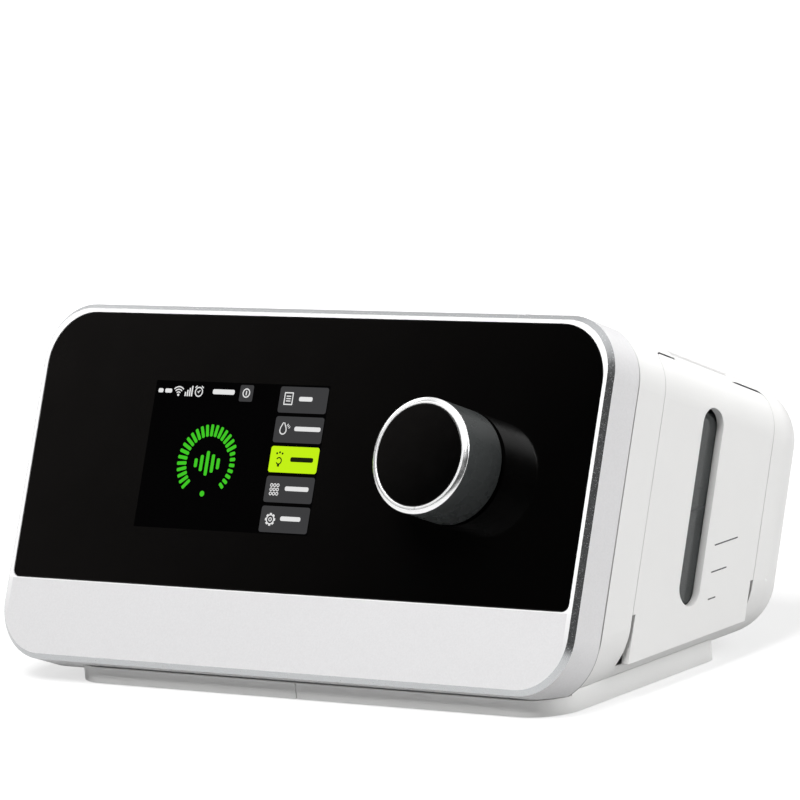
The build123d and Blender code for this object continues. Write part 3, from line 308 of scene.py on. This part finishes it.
def frame_finish(colours):
    """Silver paint with fine flakes, and bare bright metal on the bevels cut at 45 degrees; a painted
    highlight in white round the glass and painted shadow along the rear edge.
    """
    made = Finish("frame_silver_paint", colours.frame, 0.42)
    facing = made.along(made.node("ShaderNodeNewGeometry").outputs["True Normal"], Vector((0, -C, S)))
    cut = made.maths("COMPARE", facing, cos(pi / 4), 0.04)
    split = made.node("ShaderNodeSeparateXYZ")
    made.link(made.face_place(), split.inputs[0])
    across, up, outwards = split.outputs

    # painted highlight: the flat land round the glass is painted white, down to a hairline under it, fading
    # in from below beside the glass
    beside = made.maths("GREATER_THAN", made.maths("ABSOLUTE", across), LAND * MM)
    fading = made.maths("MULTIPLY", beside, made.ranged(up, 0, 1, -14 * MM, 6 * MM))
    land = made.maths("MAXIMUM", fading, made.ranged(up, 0, 1, -0.6 * MM, -0.45 * MM))
    flat = made.maths("MULTIPLY", land, made.ranged(facing, 0, 1, 0.97, 0.99))

    flakes = made.node("ShaderNodeTexVoronoi")
    flakes.inputs["Scale"].default_value = 1 / (0.55 * MM)
    made.link(made.place, flakes.inputs["Vector"])
    glint = made.ranged(flakes.outputs["Color"], 0, 1, 0.1, 0.9)
    paint = made.mixed(glint, made.shade(0.975), made.shade(1.02))
    paint = made.mixed(flat, paint, tuple(colours.land))

    # painted shadow: the rear edge is darkened beside the housing, more so towards the bottom
    rear = made.ranged(outwards, 1, 0, -BAND * MM, (0.6 - BAND) * MM)
    seam_shadow = made.maths("MULTIPLY", rear, made.ranged(up, 0.85, 0.15, -25 * MM, 100 * MM))
    paint = made.mixed(seam_shadow, paint, made.shade(0.12))

    lines = made.noise(0.5, 2, (0.2, 1, 1))
    metal = made.mixed(lines, tuple(0.94 * c for c in colours.cut_edge), tuple(colours.cut_edge))
    made.link(made.mixed(cut, paint, metal), made.shader.inputs["Base Color"])
    made.link(made.ranged(cut, 0.1, 1.0, 0, 1), made.shader.inputs["Metallic"])
    painted = made.ranged(made.noise(0.8, 3), 0.36, 0.5)
    rough = made.between(cut, painted, made.ranged(lines, 0.2, 0.28))
    made.link(rough, made.shader.inputs["Roughness"])
    return made.relief(made.between(cut, made.noise(0.9, 4), 0.5), 0.0025).material


def glass_finish(colours):
    """Black lens: polished, with a faint haze, and a painted sheen that makes it paler towards its top left
    corner.
    """
    made = Finish("lens_black_gloss", colours.glass, 0.05, specular=0.16)
    haze = made.noise(26, 4)
    # painted sheen: paler towards the top left, broken up by the haze
    painted_sheen = made.ranged(made.along(made.face_place(), (-0.8, 0.6, 0)), 0, 1, -60 * MM, 170 * MM)
    made.tone(made.maths("MULTIPLY", painted_sheen, made.ranged(haze, 0.9, 1.1)), 0.6, 6)
    made.rough(haze, 0.03, 0.09)
    return made.relief(made.noise(9, 1), 0.0006).material


def lit_finish(name, base, contrast=0.94):
    """Part of the lit picture under the lens: glowing dots in fine rows."""
    made = Finish(name, (0.0004, 0.0004, 0.0004), 0.08, specular=0.16)
    dots = made.node("ShaderNodeTexBrick", offset=0.0)
    for socket, value in (("Scale", 1 / (0.5 * MM)), ("Mortar Size", 0.06), ("Brick Width", 0.5),
                          ("Row Height", 0.5), ("Mortar Smooth", 0.6)):
        dots.inputs[socket].default_value = value
    dots.inputs["Color1"].default_value = (*base, 1)
    dots.inputs["Color2"].default_value = tuple(channel * 0.97 for channel in base) + (1,)
    dots.inputs["Mortar"].default_value = tuple(channel * contrast for channel in base) + (1,)
    made.link(made.face_place(), dots.inputs["Vector"])
    made.link(dots.outputs["Color"], made.shader.inputs["Emission Color"])
    made.shader.inputs["Emission Strength"].default_value = 1.0
    return made.material


def barrel_finish(colours, sizes):
    made = Finish("knob_satin_black", colours.barrel, 0.28, specular=0.6)
    made.tone(made.noise(12, 2), 0.92, 1.1)
    made.rough(made.noise(6, 2), 0.25, 0.31)
    return made.relief(made.noise(0.3, 2), 0.0006, sizes.edge).material


def disc_finish(colours, sizes):
    """Black face of the knob: smooth, with a painted sheen that makes it paler towards its top left."""
    made = Finish("knob_face_black", tuple(0.9 * c for c in colours.glass), 0.14, specular=0.3)
    # painted sheen: paler towards the top left
    painted_sheen = made.along(made.face_place(*KNOB), (-0.7, 0.7, 0))
    made.tone(made.ranged(painted_sheen, 0, 1, -14 * MM, 18 * MM), 0.4, 5)
    made.rough(made.noise(4, 3), 0.1, 0.2)
    return made.relief(made.noise(2, 2), 0.0006, sizes.edge).material


def ring_finish(colours):
    """Turned ring: fine circular tool lines about the knob's axis."""
    made = Finish("knob_turned_ring", colours.ring, 0.24, metallic=1.0)
    lines = made.node("ShaderNodeTexWave", wave_type="RINGS", rings_direction="Z")
    lines.inputs["Scale"].default_value = 900
    lines.inputs["Distortion"].default_value = 0.4
    made.link(made.face_place(*KNOB), lines.inputs["Vector"])
    made.tone(lines.outputs["Fac"], 0.97, 1.01)
    made.rough(made.noise(3, 2), 0.2, 0.28)
    return made.relief(lines.outputs["Fac"], 0.0004).material


def smoke_finish(colours):
    """Smoked clear plastic, a little cloudy where water has dried."""
    made = Finish("tank_smoked_clear", colours.smoke, 0.1)
    made.tone(made.noise(18, 3), 0.9, 1.1)
    made.rough(made.noise(9, 3), 0.06, 0.15)
    made.shader.inputs["Transmission Weight"].default_value = 0.85
    made.shader.inputs["IOR"].default_value = 1.49
    return made.relief(made.noise(9, 1), 0.004).material


def metal_finish(name, base, roughness, stretch):
    """Brushed or drawn metal, its lines along one axis."""
    made = Finish(name, base, roughness, metallic=1.0)
    lines = made.noise(0.4, 3, stretch)
    made.tone(lines, 0.88, 1.06)
    made.rough(lines, roughness - 0.07, roughness + 0.1)
    return made.relief(lines, 0.003).material


def soft_finish(name, base, roughness):
    """Rubber or silicone: matt, with a fine bloom on it."""
    made = Finish(name, base, roughness, specular=0.35)
    made.tone(made.noise(4, 4), 0.85, 1.2)
    made.rough(made.noise(1.2, 3), roughness - 0.1, roughness + 0.08)
    return made.relief(made.noise(0.3, 3), 0.012).material


def board_finish(colours):
    """Solder mask with copper tracks showing through."""
    made = Finish("board_solder_mask", colours.board, 0.32)
    tracks = made.node("ShaderNodeTexVoronoi", feature="DISTANCE_TO_EDGE")
    tracks.inputs["Scale"].default_value = 1 / (5 * MM)
    tracks.inputs["Randomness"].default_value = 0.35
    made.link(made.place, tracks.inputs["Vector"])
    on_track = made.ranged(tracks.outputs["Distance"], 1, 0, 0.03, 0.08)
    made.link(made.mixed(on_track, made.shade(1.0), made.shade(2.4)), made.shader.inputs["Base Color"])
    return made.relief(on_track, 0.03).material


def felt_finish(colours):
    """Filter felt: matted fibres with loose tufts."""
    made = Finish("filter_felt", colours.felt, 0.95, specular=0.1)
    fibres = made.noise(0.5, 6)
    made.tone(fibres, 0.8, 1.08)
    made.shader.inputs["Sheen Weight"].default_value = 0.4
    return made.relief(fibres, 0.25).material


# printed ink of the level marks, and the painted shade in the screw recesses
def ink_and_shade_finish(colours):
    made = Finish("printed_ink_and_painted_shade", colours.ink_and_recess_shade, 0.55)
    made.tone(made.noise(0.3, 3), 0.8, 1.5)
    return made.relief(made.noise(0.2, 2), 0.002).material


# ---- pieces ------------------------------------------------------------------

def settings(context):
    scene = context.scene
    return scene.machine_colours, scene.machine_sizes


def clear(name):
    old = bpy.data.objects.get(name)
    if old:
        bpy.data.objects.remove(old)


def finished(name, bm, body, materials, smooth=32):
    """Turns a bmesh in the machine's frame into a piece that rides on a body."""
    clear(name)
    mesh = bpy.data.meshes.new(name)
    bm.to_mesh(mesh)
    bm.free()
    if not mesh.polygons:
        raise RuntimeError(f"{name} came out empty")
    for material in materials:
        mesh.materials.append(material)
    mesh.shade_smooth()
    mesh.set_sharp_from_angle(angle=radians(smooth))
    piece = bpy.data.objects.new(name, mesh)
    bpy.context.scene.collection.objects.link(piece)
    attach(piece, body)
    return piece


def body_of(node):
    return frame["nodes"][node]["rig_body"]


def coat(node, finish):
    """Puts a finish on a CAD node whose shape is right as it is."""
    materials = frame["nodes"][node].data.materials
    materials.clear()
    materials.append(finish)


def recoat(node, materials, pick):
    """A welded copy of a CAD node in several finishes.

    pick takes a face's centre in metres, and says which finish the face has.
    """
    bm = bmesh.new()
    bm.from_mesh(frame["nodes"][node].data)
    bmesh.ops.remove_doubles(bm, verts=bm.verts, dist=1e-6)
    for face in bm.faces:
        face.material_index = pick(face.calc_center_median())
    piece = finished(f"{node}_finished", bm, body_of(node), materials)
    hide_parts(node)
    return piece


def spring(node, finish):
    """A welded copy of a spring in its finish, with a mesh of its own."""
    piece = recoat(node, [finish], lambda centre: 0)
    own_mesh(piece)


def slab(bm, x, y, wide, high, radius=0.0, turn=0.0):
    """Flat rounded rectangle at z = 0."""
    place = Matrix.Translation((x, y, 0)) @ Matrix.Rotation(turn, 4, "Z")
    matrix = place @ Matrix.Diagonal((wide, high, 1, 1))
    made = bmesh.ops.create_grid(bm, x_segments=1, y_segments=1, size=0.5, matrix=matrix)
    if radius:
        bmesh.ops.bevel(
            bm, geom=made["verts"], offset=radius, offset_type="OFFSET", affect="VERTICES",
            segments=5, profile=0.5, material=-1)


def arc(bm, x, y, inner, outer, start=0.0, sweep=2 * pi, steps=28):
    """Flat ring, or part of one, at z = 0."""
    turn = Matrix.Rotation(start, 3, "Z")
    ends = [bm.verts.new(Vector((x, y, 0)) + turn @ Vector((radius, 0, 0))) for radius in (inner, outer)]
    edge = bm.edges.new(ends)
    full = sweep > 2 * pi - 1e-6
    bmesh.ops.spin(
        bm, geom=[*ends, edge], cent=(x, y, 0), axis=(0, 0, 1), angle=sweep, steps=steps, use_merge=full)


def thicken(bm, depth, matrix):
    """Gives flat faces a thickness outwards and puts them in the machine's frame."""
    made = bmesh.ops.extrude_face_region(bm, geom=list(bm.faces))
    raised = [item for item in made["geom"] if isinstance(item, bmesh.types.BMVert)]
    bmesh.ops.translate(bm, verts=raised, vec=(0, 0, depth))
    bmesh.ops.recalc_face_normals(bm, faces=bm.faces)
    bmesh.ops.transform(bm, matrix=matrix, verts=bm.verts)


def lathe(bm, outline, steps=96):
    """Spins a closed outline of (radius, height) about the local Z axis."""
    verts = [bm.verts.new((radius, 0, height)) for radius, height in outline]
    edges = [bm.edges.new((a, b)) for a, b in zip(verts, verts[1:] + verts[:1])]
    bmesh.ops.spin(
        bm, geom=[*verts, *edges], cent=(0, 0, 0), axis=(0, 0, 1), angle=2 * pi, steps=steps, use_merge=True)
    bmesh.ops.remove_doubles(bm, verts=bm.verts, dist=1e-5)
    bmesh.ops.recalc_face_normals(bm, faces=bm.faces)


class MACHINE_OT_shell(Operator):
    """Housing, tank end cap, release key and filter cover in satin white"""
    bl_idname = "machine.shell"
    bl_label = "Shell"

    def execute(self, context):
        colours, sizes = settings(context)
        white = shell_finish(colours, sizes)
        for node in ("housing", "tank_end_cap", "tank_release_key", "filter_cover"):
            coat(node, white)
        return {"FINISHED"}


class MACHINE_OT_front(Operator):
    """Silver front frame with its cut edge, and the black lens"""
    bl_idname = "machine.front"
    bl_label = "Front"

    def execute(self, context):
        colours = context.scene.machine_colours
        coat("front_bezel", frame_finish(colours))
        coat("front_glass", glass_finish(colours))
        return {"FINISHED"}


class MACHINE_OT_display(Operator):
    """Lit picture: menu tiles, icons, word bars and gauge"""
    bl_idname = "machine.display"
    bl_label = "Display"

    def execute(self, context):
        colours, sizes = settings(context)
        lift = sizes.lift / MM

        def layer(name, draw, finish, level):
            bm = bmesh.new()
            draw(bm)
            thicken(bm, lift, FACE @ Matrix.Translation((0, 0, level * lift)))
            finished(name, bm, "main_unit", [finish], smooth=20)

        def screen(bm):
            slab(bm, -33.1, 50.1, 84.0, 56.4, 0.4)

        def tiles(bm):
            for row in (0, 1, 3, 4):
                slab(bm, TILE_X, TILE_TOP - row * TILE_STEP, TILE_WIDE, TILE_HIGH, 1.0)
            slab(bm, -30.6, 74.4, 6.4, 6.3, 0.7)

        def chosen(bm):
            slab(bm, TILE_X, TILE_TOP - 2 * TILE_STEP, TILE_WIDE, TILE_HIGH, 1.0)

        def icons(bm):
            left = -10.0
            # list icon
            y = TILE_TOP + 0.4
            for x, dy, wide, high in ((left - 1.9, 0, 0.45, 4.4), (left + 1.9, 0, 0.45, 4.4),
                                      (left, 2.2, 4.2, 0.45), (left, -2.2, 4.2, 0.45),
                                      (left, 0.9, 2.2, 0.4), (left, 0, 2.2, 0.4), (left, -0.9, 2.2, 0.4)):
                slab(bm, x, y + dy, wide, high, 0.15)
            # drop icon
            y = TILE_TOP - TILE_STEP - 0.3
            arc(bm, left - 0.3, y, 1.25, 1.7, radians(150), radians(240), 20)
            for turn, side in ((radians(-62), -1), (radians(62), 1)):
                slab(bm, left - 0.3 + side * 0.82, y + 1.85, 2.5, 0.42, 0.15, -turn)
            for step in range(3):
                slab(bm, left + 1.6 + 0.5 * step, y + 2.1 - 0.5 * step, 1.0, 0.3, 0.1, radians(50))
            # comfort icon: nine small rings
            y = TILE_TOP - 3 * TILE_STEP - 0.1
            for column in (-1.5, 0, 1.5):
                for row in (-1.6, 0, 1.6):
                    arc(bm, left + column, y + row, 0.38, 0.7, steps=14)
            # settings icon: ring with teeth
            y = TILE_TOP - 4 * TILE_STEP - 0.1
            arc(bm, left + 0.3, y, 1.5, 1.95)
            arc(bm, left + 0.3, y, 0.45, 0.8, steps=18)
            for step in range(8):
                turn = step * pi / 4
                slab(bm, left + 0.3 + 2.15 * cos(turn), y + 2.15 * sin(turn), 0.5, 1.0, 0.15, turn)
            # word bars, one to a tile
            for row, wide in ((0, 6.4), (1, 12.4), (3, 11.2), (4, 9.6)):
                slab(bm, -5.0 + wide / 2, TILE_TOP + 0.4 - row * TILE_STEP, wide, 1.7, 0.7)
            # status row: clock bar, radio waves, alarm, mode bar, info ring
            for x, wide in ((-72.4, 2.4), (-68.6, 3.4)):
                slab(bm, x, 74.4, wide, 1.6, 0.6)
            for radius in (1.0, 2.0, 3.0):
                arc(bm, -63.6, 72.8, radius, radius + 0.45, radians(45), radians(90), 12)
            arc(bm, -63.6, 72.9, 0.05, 0.5, steps=12)
            for step in range(4):
                slab(bm, -60.2 + 1.05 * step, 73.3 + 0.4 * step, 0.6, 1.6 + 0.8 * step, 0.1)
            arc(bm, -53.7, 74.3, 1.5, 1.95)
            for side in (-1, 1):
                slab(bm, -53.7 + side * 1.55, 76.2, 1.2, 0.4, 0.15, side * radians(-40))
                slab(bm, -53.7 + side * 0.3, 74.4 + 0.2 * side, 0.9, 0.35, 0.1, side * radians(50))
            slab(bm, -41.6, 74.6, 10.6, 1.9, 0.7)
            arc(bm, -30.6, 74.5, 1.35, 1.8)
            slab(bm, -30.6, 74.5, 0.5, 1.7, 0.15)

        def chosen_marks(bm):
            y = TILE_TOP - 2 * TILE_STEP
            arc(bm, -10.0, y - 0.6, 1.0, 1.45, radians(-150), radians(300), 22)
            slab(bm, -10.0, y - 2.2, 1.0, 1.2, 0.2)
            for step in range(3):
                arc(bm, -10.0 + (step - 1) * 1.3, y + 2.2 + 0.4 * (step % 2), 0.05, 0.42, steps=10)
            slab(bm, 0.8, y + 0.1, 10.8, 1.8, 0.7)

        def gauge(bm):
            x, y, radius = -44.3, 47.6, 12.2
            first, last = radians(225), radians(-45)
            count = sizes.teeth
            for step in range(count):
                turn = first + (last - first) * step / (count - 1)
                # about the last quarter of the ticks is short
                size = 4.6 if step < count * 0.74 else 2.6
                slab(bm, x + radius * cos(turn), y + radius * sin(turn), size, 1.35, 0.5, turn)
            for step, high in enumerate((3.4, 6.2, 9.4, 7.0, 4.2)):
                slab(bm, x + (step - 2) * 2.7, y - 0.4, 1.5, high, 0.6)
            arc(bm, x, y - 12.0, 0.05, 1.1, steps=16)

        black = lit_finish("picture_black", (0.0003, 0.0002, 0.0003))
        layer("display_ground", screen, black, 0)
        layer("display_tiles", tiles, lit_finish("picture_tile", colours.tile), 1)
        layer("display_chosen_tile", chosen, lit_finish("picture_chosen", colours.tile_lit), 1)
        layer("display_gauge", gauge, lit_finish("picture_gauge", colours.gauge, 0.8), 1)
        layer("display_icons", icons, lit_finish("picture_icons", colours.icon), 2)
        layer("display_chosen_marks", chosen_marks, lit_finish("picture_dark", (0.01, 0.015, 0.004)), 2)
        return {"FINISHED"}


class MACHINE_OT_knob(Operator):
    """Knob: satin barrel, turned ring and black face"""
    bl_idname = "machine.knob"
    bl_label = "Knob"

    def execute(self, context):
        colours, sizes = settings(context)
        coat("knob_barrel", barrel_finish(colours, sizes))
        bm = bmesh.new()
        lathe(bm, [
            (18.95, 20.0), (18.95, 22.18), (19.02, 22.32), (19.2, 22.39), (19.5, 22.38), (19.62, 22.26),
            (19.7, 22.14), (19.85, 22.12), (20.05, 22.08), (21.2, 21.42), (21.38, 21.26), (21.44, 21.1),
            (21.44, 21.0), (20.24, 21.0), (20.24, 20.0),
        ])
        for part in bm.faces:
            centre = part.calc_center_median()
            part.material_index = 0 if centre.xy.length > BEAD_RADIUS else 1
        bmesh.ops.transform(bm, matrix=FACE @ Matrix.Translation((*KNOB, 0)), verts=bm.verts)
        # painted highlight: the polished bead is painted in the land's near white
        bead = moulded("knob_bead_painted_highlight", colours.land, 0.3, 1.0, 0.0005)
        bead.shader.inputs["Metallic"].default_value = 0.3
        ring = finished(
            "knob_ring_turned", bm, "knob", [ring_finish(colours), bead.material], smooth=25)
        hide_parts("knob_trim_ring")
        coat("knob_face_disc", disc_finish(colours, sizes))
        return {"FINISHED"}


class MACHINE_OT_button(Operator):
    """Start button in the top of the front frame"""
    bl_idname = "machine.button"
    bl_label = "Start button"

    def execute(self, context):
        colours = context.scene.machine_colours
        coat("start_button", frame_finish(colours))
        return {"FINISHED"}


class MACHINE_OT_foot(Operator):
    """Foot halves, rubber pads, and painted shade in the recesses of the screws under them"""
    bl_idname = "machine.foot"
    bl_label = "Foot"

    def execute(self, context):
        colours, sizes = settings(context)
        grey = moulded("foot_light_grey", colours.foot, 0.45, 0.5, 0.008, sizes.edge).material
        for node in ("base_left", "base_right"):
            coat(node, grey)
        coat("rubber_pads", soft_finish("pad_rubber", colours.rubber, 0.8))

        # painted shade: flat dark crosses stand for the driver recesses in the screw heads, seen from below
        bm = bmesh.new()
        for x, y in SCREW_HEADS:
            for turn in (radians(20), radians(110)):
                slab(bm, x, y, 3.2, 0.75, 0.2, turn)
        thicken(bm, 0.03, Matrix.Translation((0, 0, RECESS_Z * MM)) @ UPRIGHT)
        finished("screw_recess_shade", bm, "main_unit", [ink_and_shade_finish(colours)])
        return {"FINISHED"}


class MACHINE_OT_tank(Operator):
    """Smoked water tank with its gasket, metal pan and level marks"""
    bl_idname = "machine.tank"
    bl_label = "Water tank"

    def execute(self, context):
        colours, sizes = settings(context)
        smoke = smoke_finish(colours)
        coat("tank_tub", smoke)
        coat("tank_lid", smoke)
        coat("tank_gasket", soft_finish("seal_silicone", colours.inner, 0.6))
        coat("tank_base_pan", metal_finish("pan_brushed_steel", colours.steel, 0.3, (1, 12, 12)))
        bm = bmesh.new()
        width = sizes.mark / MM
        for near, far, height in ((5.25, 20.25, 45.3), (1.55, 11.55, 35.9), (-1.85, 3.05, 26.5)):
            slab(bm, (near + far) / 2, height, far - near, width, 0.1)
        on_cap = Matrix(((0, 0, MM, END_CAP_X * MM), (MM, 0, 0, 0), (0, MM, 0, 0), (0, 0, 0, 1)))
        thicken(bm, 0.012, on_cap)
        finished("tank_level_marks", bm, "water_tank", [ink_and_shade_finish(colours)])
        return {"FINISHED"}


class MACHINE_OT_rear(Operator):
    """Hose port, power inlet, card slot and memory card at the rear"""
    bl_idname = "machine.rear"
    bl_label = "Rear fittings"

    def execute(self, context):
        colours, sizes = settings(context)
        grey = moulded("port_grey", colours.foot, 0.4, 0.6, 0.004, sizes.edge).material
        dark = moulded("socket_black", colours.inner, 0.5, 0.4, 0.006, sizes.edge).material
        steel = metal_finish("pin_steel", colours.steel, 0.25, (1, 1, 1))
        coat("air_outlet_port", grey)

        def pin(centre):
            at = SIDE.inverted() @ centre
            return int(abs(at.z - PIN_OUT) < 1.1 and abs(at.y - PIN_UP) < 1.1 and at.x > PIN_DEPTH)

        recoat("dc_socket", [dark, steel], pin)
        coat("card_socket", dark)
        coat("memory_card", moulded("card_plastic", colours.card, 0.45, 0.3, 0.004, sizes.edge).material)
        return {"FINISHED"}


class MACHINE_OT_inside(Operator):
    """Bay, heater, blower, ducts, filter, springs and screws"""
    bl_idname = "machine.inside"
    bl_label = "Inside"

    def execute(self, context):
        colours, sizes = settings(context)
        dark = moulded("inner_dark_plastic", colours.inner, 0.55, 0.4, 0.01, sizes.edge).material
        for node in ("bay_liner", "heater_insulator", "blower_lower", "blower_upper", "inlet_silencer",
                     "filter_tray", "display_module", "knob_encoder"):
            coat(node, dark)
        soft = soft_finish("duct_silicone", colours.silicone, 0.6)
        for node in ("port_seals", "blower_mounts", "blower_duct", "blower_elbow", "outlet_duct",
                     "inlet_boot"):
            coat(node, soft)
        bright = metal_finish("heater_aluminium", colours.aluminium, 0.3, (1, 10, 1))
        for node in ("heater_plate", "motor_can"):
            coat(node, bright)
        coat("impeller", moulded("impeller_white", colours.shell, 0.4, 0.6, 0.004).material)
        coat("filter_pad", felt_finish(colours))
        steel = metal_finish("drawn_steel", colours.steel, 0.3, (1, 1, 8))
        for node in ("motor_bearings", "motor_shaft", "motor_rotor", "heater_springs",
                     "knob_shaft", "knob_plunger", "board_screws", "base_screws"):
            coat(node, steel)
        spring("key_spring", steel)
        spring("start_button_spring", steel)
        return {"FINISHED"}


class MACHINE_OT_boards(Operator):
    """Circuit boards in solder mask"""
    bl_idname = "machine.boards"
    bl_label = "Circuit boards"

    def execute(self, context):
        colours = context.scene.machine_colours
        mask = board_finish(colours)
        for node in ("main_board", "front_board", "button_board"):
            coat(node, mask)
        return {"FINISHED"}


# ---- studio ------------------------------------------------------------------

def soft_box(name, place, target, size, power):
    clear(name)
    lamp = bpy.data.lights.new(name, "AREA")
    lamp.shape, lamp.size, lamp.energy = "SQUARE", size, power
    made = bpy.data.objects.new(name, lamp)
    made.location = place
    made.rotation_euler = (Vector(target) - Vector(place)).to_track_quat("-Z", "Y").to_euler()
    bpy.context.scene.collection.objects.link(made)


class MACHINE_OT_stage(Operator):
    """Camera, lamps, room light and floor"""
    bl_idname = "machine.stage"
    bl_label = "Stage"

    def execute(self, context):
        scene, studio = context.scene, context.scene.machine_studio
        scene.view_settings.view_transform = "Standard"
        clear("camera")
        camera = bpy.data.cameras.new("camera")
        camera.lens, camera.sensor_width = studio.lens, 36
        camera.shift_y = 0.00125
        camera.clip_start, camera.clip_end = 0.05, 60
        eye = bpy.data.objects.new("camera", camera)
        right = Vector((0.78948902, 0.60774299, -0.08576447))
        down = Vector((0.0292158, -0.17678845, -0.98381517))
        ahead = Vector((-0.61306894, 0.7742056, -0.15732824))
        turn = Matrix((right, -down, -ahead)).transposed().to_4x4()
        eye.matrix_world = Matrix.Translation((1.2435, -1.57165, 0.4151)) @ turn
        scene.collection.objects.link(eye)
        scene.camera = eye

        aim = (0, 0, 0.06)
        soft_box("top_box", (-0.1, 0.1, 1.8), aim, 1.4, studio.top)
        soft_box("front_box", (0.1, -1.1, 1.84), aim, 1.1, studio.front)
        soft_box("left_box", (-1.7, 0.2, 1.2), aim, 1.1, studio.left)
        soft_box("right_box", (1.8, 0.5, 0.9), aim, 1.1, studio.right)
        soft_box("rear_box", (0.3, 1.8, 1.0), aim, 1.1, studio.rear)

        world = bpy.data.worlds.new("studio_room")
        world.use_nodes = True
        scene.world = world
        room = Nodes(world.node_tree)
        split = room.node("ShaderNodeSeparateXYZ")
        room.link(room.node("ShaderNodeTexCoord").outputs["Generated"], split.inputs[0])
        behind = room.ranged(split.outputs["Y"], 0, 1, -0.45, 0.2, interpolation_type="SMOOTHSTEP")
        above = room.ranged(split.outputs["Z"], 0, 1, 0.55, 0.9, interpolation_type="SMOOTHSTEP")
        rising = room.ranged(split.outputs["Z"], 0, 1, -0.1, 0.7, interpolation_type="SMOOTHSTEP")

        # reflections show the room bright only behind and above, the camera sees it evenly pale
        rays = room.node("ShaderNodeLightPath").outputs
        seen = room.maths("MAXIMUM", room.maths("MAXIMUM", behind, above), 0.05)
        mirrored = room.maths("MAXIMUM", rays["Is Glossy Ray"], rays["Is Transmission Ray"])
        strength = room.maths("MAXIMUM", room.maths("MULTIPLY", mirrored, seen), rays["Is Camera Ray"])

        # its even light grows from a quarter at the bottom to full at the top
        high = room.maths("MULTIPLY_ADD", rising, 0.75, 0.25)
        even = room.maths("MULTIPLY", room.maths("MULTIPLY", rays["Is Diffuse Ray"], high), studio.ambient)
        background = room.node("ShaderNodeBackground")
        room.link(room.maths("MAXIMUM", strength, even), background.inputs["Strength"])
        out = room.node("ShaderNodeOutputWorld")
        room.link(background.outputs[0], out.inputs["Surface"])

        bm = bmesh.new()
        bmesh.ops.create_grid(bm, x_segments=1, y_segments=1, size=14)
        clear("floor")
        mesh = bpy.data.meshes.new("floor")
        bm.to_mesh(mesh)
        bm.free()
        floor = bpy.data.objects.new("floor", mesh)
        scene.collection.objects.link(floor)
        pale = Finish("floor_pale", studio.floor, 0.7, specular=0.2)
        pale.tone(pale.noise(40, 3), 0.99, 1.01)
        glow = pale.node("ShaderNodeEmission")
        rays = pale.node("ShaderNodeLightPath").outputs
        mirrored = pale.maths("MAXIMUM", rays["Is Glossy Ray"], rays["Is Transmission Ray"])
        # to the camera the floor glows up to white, a little less near the machine, so its shadow stays
        away = pale.node("ShaderNodeVectorMath", operation="LENGTH")
        pale.link(pale.place, away.inputs[0])
        growing = pale.ranged(away.outputs["Value"], GLOW_NEAR, 1, GLOW_FROM, GLOW_TO)
        seen = pale.maths("MULTIPLY", rays["Is Camera Ray"], growing)
        glint = pale.maths("MULTIPLY", mirrored, GLOW_MIRRORED)
        pale.link(pale.maths("MAXIMUM", seen, glint), glow.inputs["Strength"])
        both = pale.node("ShaderNodeAddShader")
        pale.link(pale.shader.outputs[0], both.inputs[0])
        pale.link(glow.outputs[0], both.inputs[1])
        pale.link(both.outputs[0], pale.surface)
        mesh.materials.append(pale.material)
        return {"FINISHED"}


class MACHINE_PT_build(Panel):
    bl_label = "Breathing Machine"
    bl_idname = "MACHINE_PT_build"
    bl_space_type = "VIEW_3D"
    bl_region_type = "UI"
    bl_category = "Breathing Machine"

    def draw(self, context):
        layout = self.layout
        for operator in OPERATORS:
            layout.operator(operator.bl_idname)
        scene = context.scene
        for group in (scene.machine_sizes, scene.machine_studio, scene.machine_colours):
            box = layout.box()
            for key in group.__annotations__:
                box.prop(group, key)


OPERATORS = (
    MACHINE_OT_stage, MACHINE_OT_shell, MACHINE_OT_front, MACHINE_OT_display, MACHINE_OT_knob,
    MACHINE_OT_button, MACHINE_OT_foot, MACHINE_OT_tank, MACHINE_OT_rear, MACHINE_OT_inside,
    MACHINE_OT_boards,
)
GROUPS = (MachineColours, MachineSizes, MachineStudio)


def register():
    for item in (*GROUPS, *OPERATORS, MACHINE_PT_build):
        bpy.utils.register_class(item)
    bpy.types.Scene.machine_colours = PointerProperty(type=MachineColours)
    bpy.types.Scene.machine_sizes = PointerProperty(type=MachineSizes)
    bpy.types.Scene.machine_studio = PointerProperty(type=MachineStudio)


def unregister():
    del bpy.types.Scene.machine_colours, bpy.types.Scene.machine_sizes, bpy.types.Scene.machine_studio
    for item in reversed((*GROUPS, *OPERATORS, MACHINE_PT_build)):
        bpy.utils.unregister_class(item)


def main():
    register()
    for operator in OPERATORS:
        name = operator.bl_idname.split(".")[1]
        if getattr(bpy.ops.machine, name)() != {"FINISHED"}:
            raise RuntimeError(f"{operator.bl_label} didn't finish")


if __name__ == "__main__":
    main()
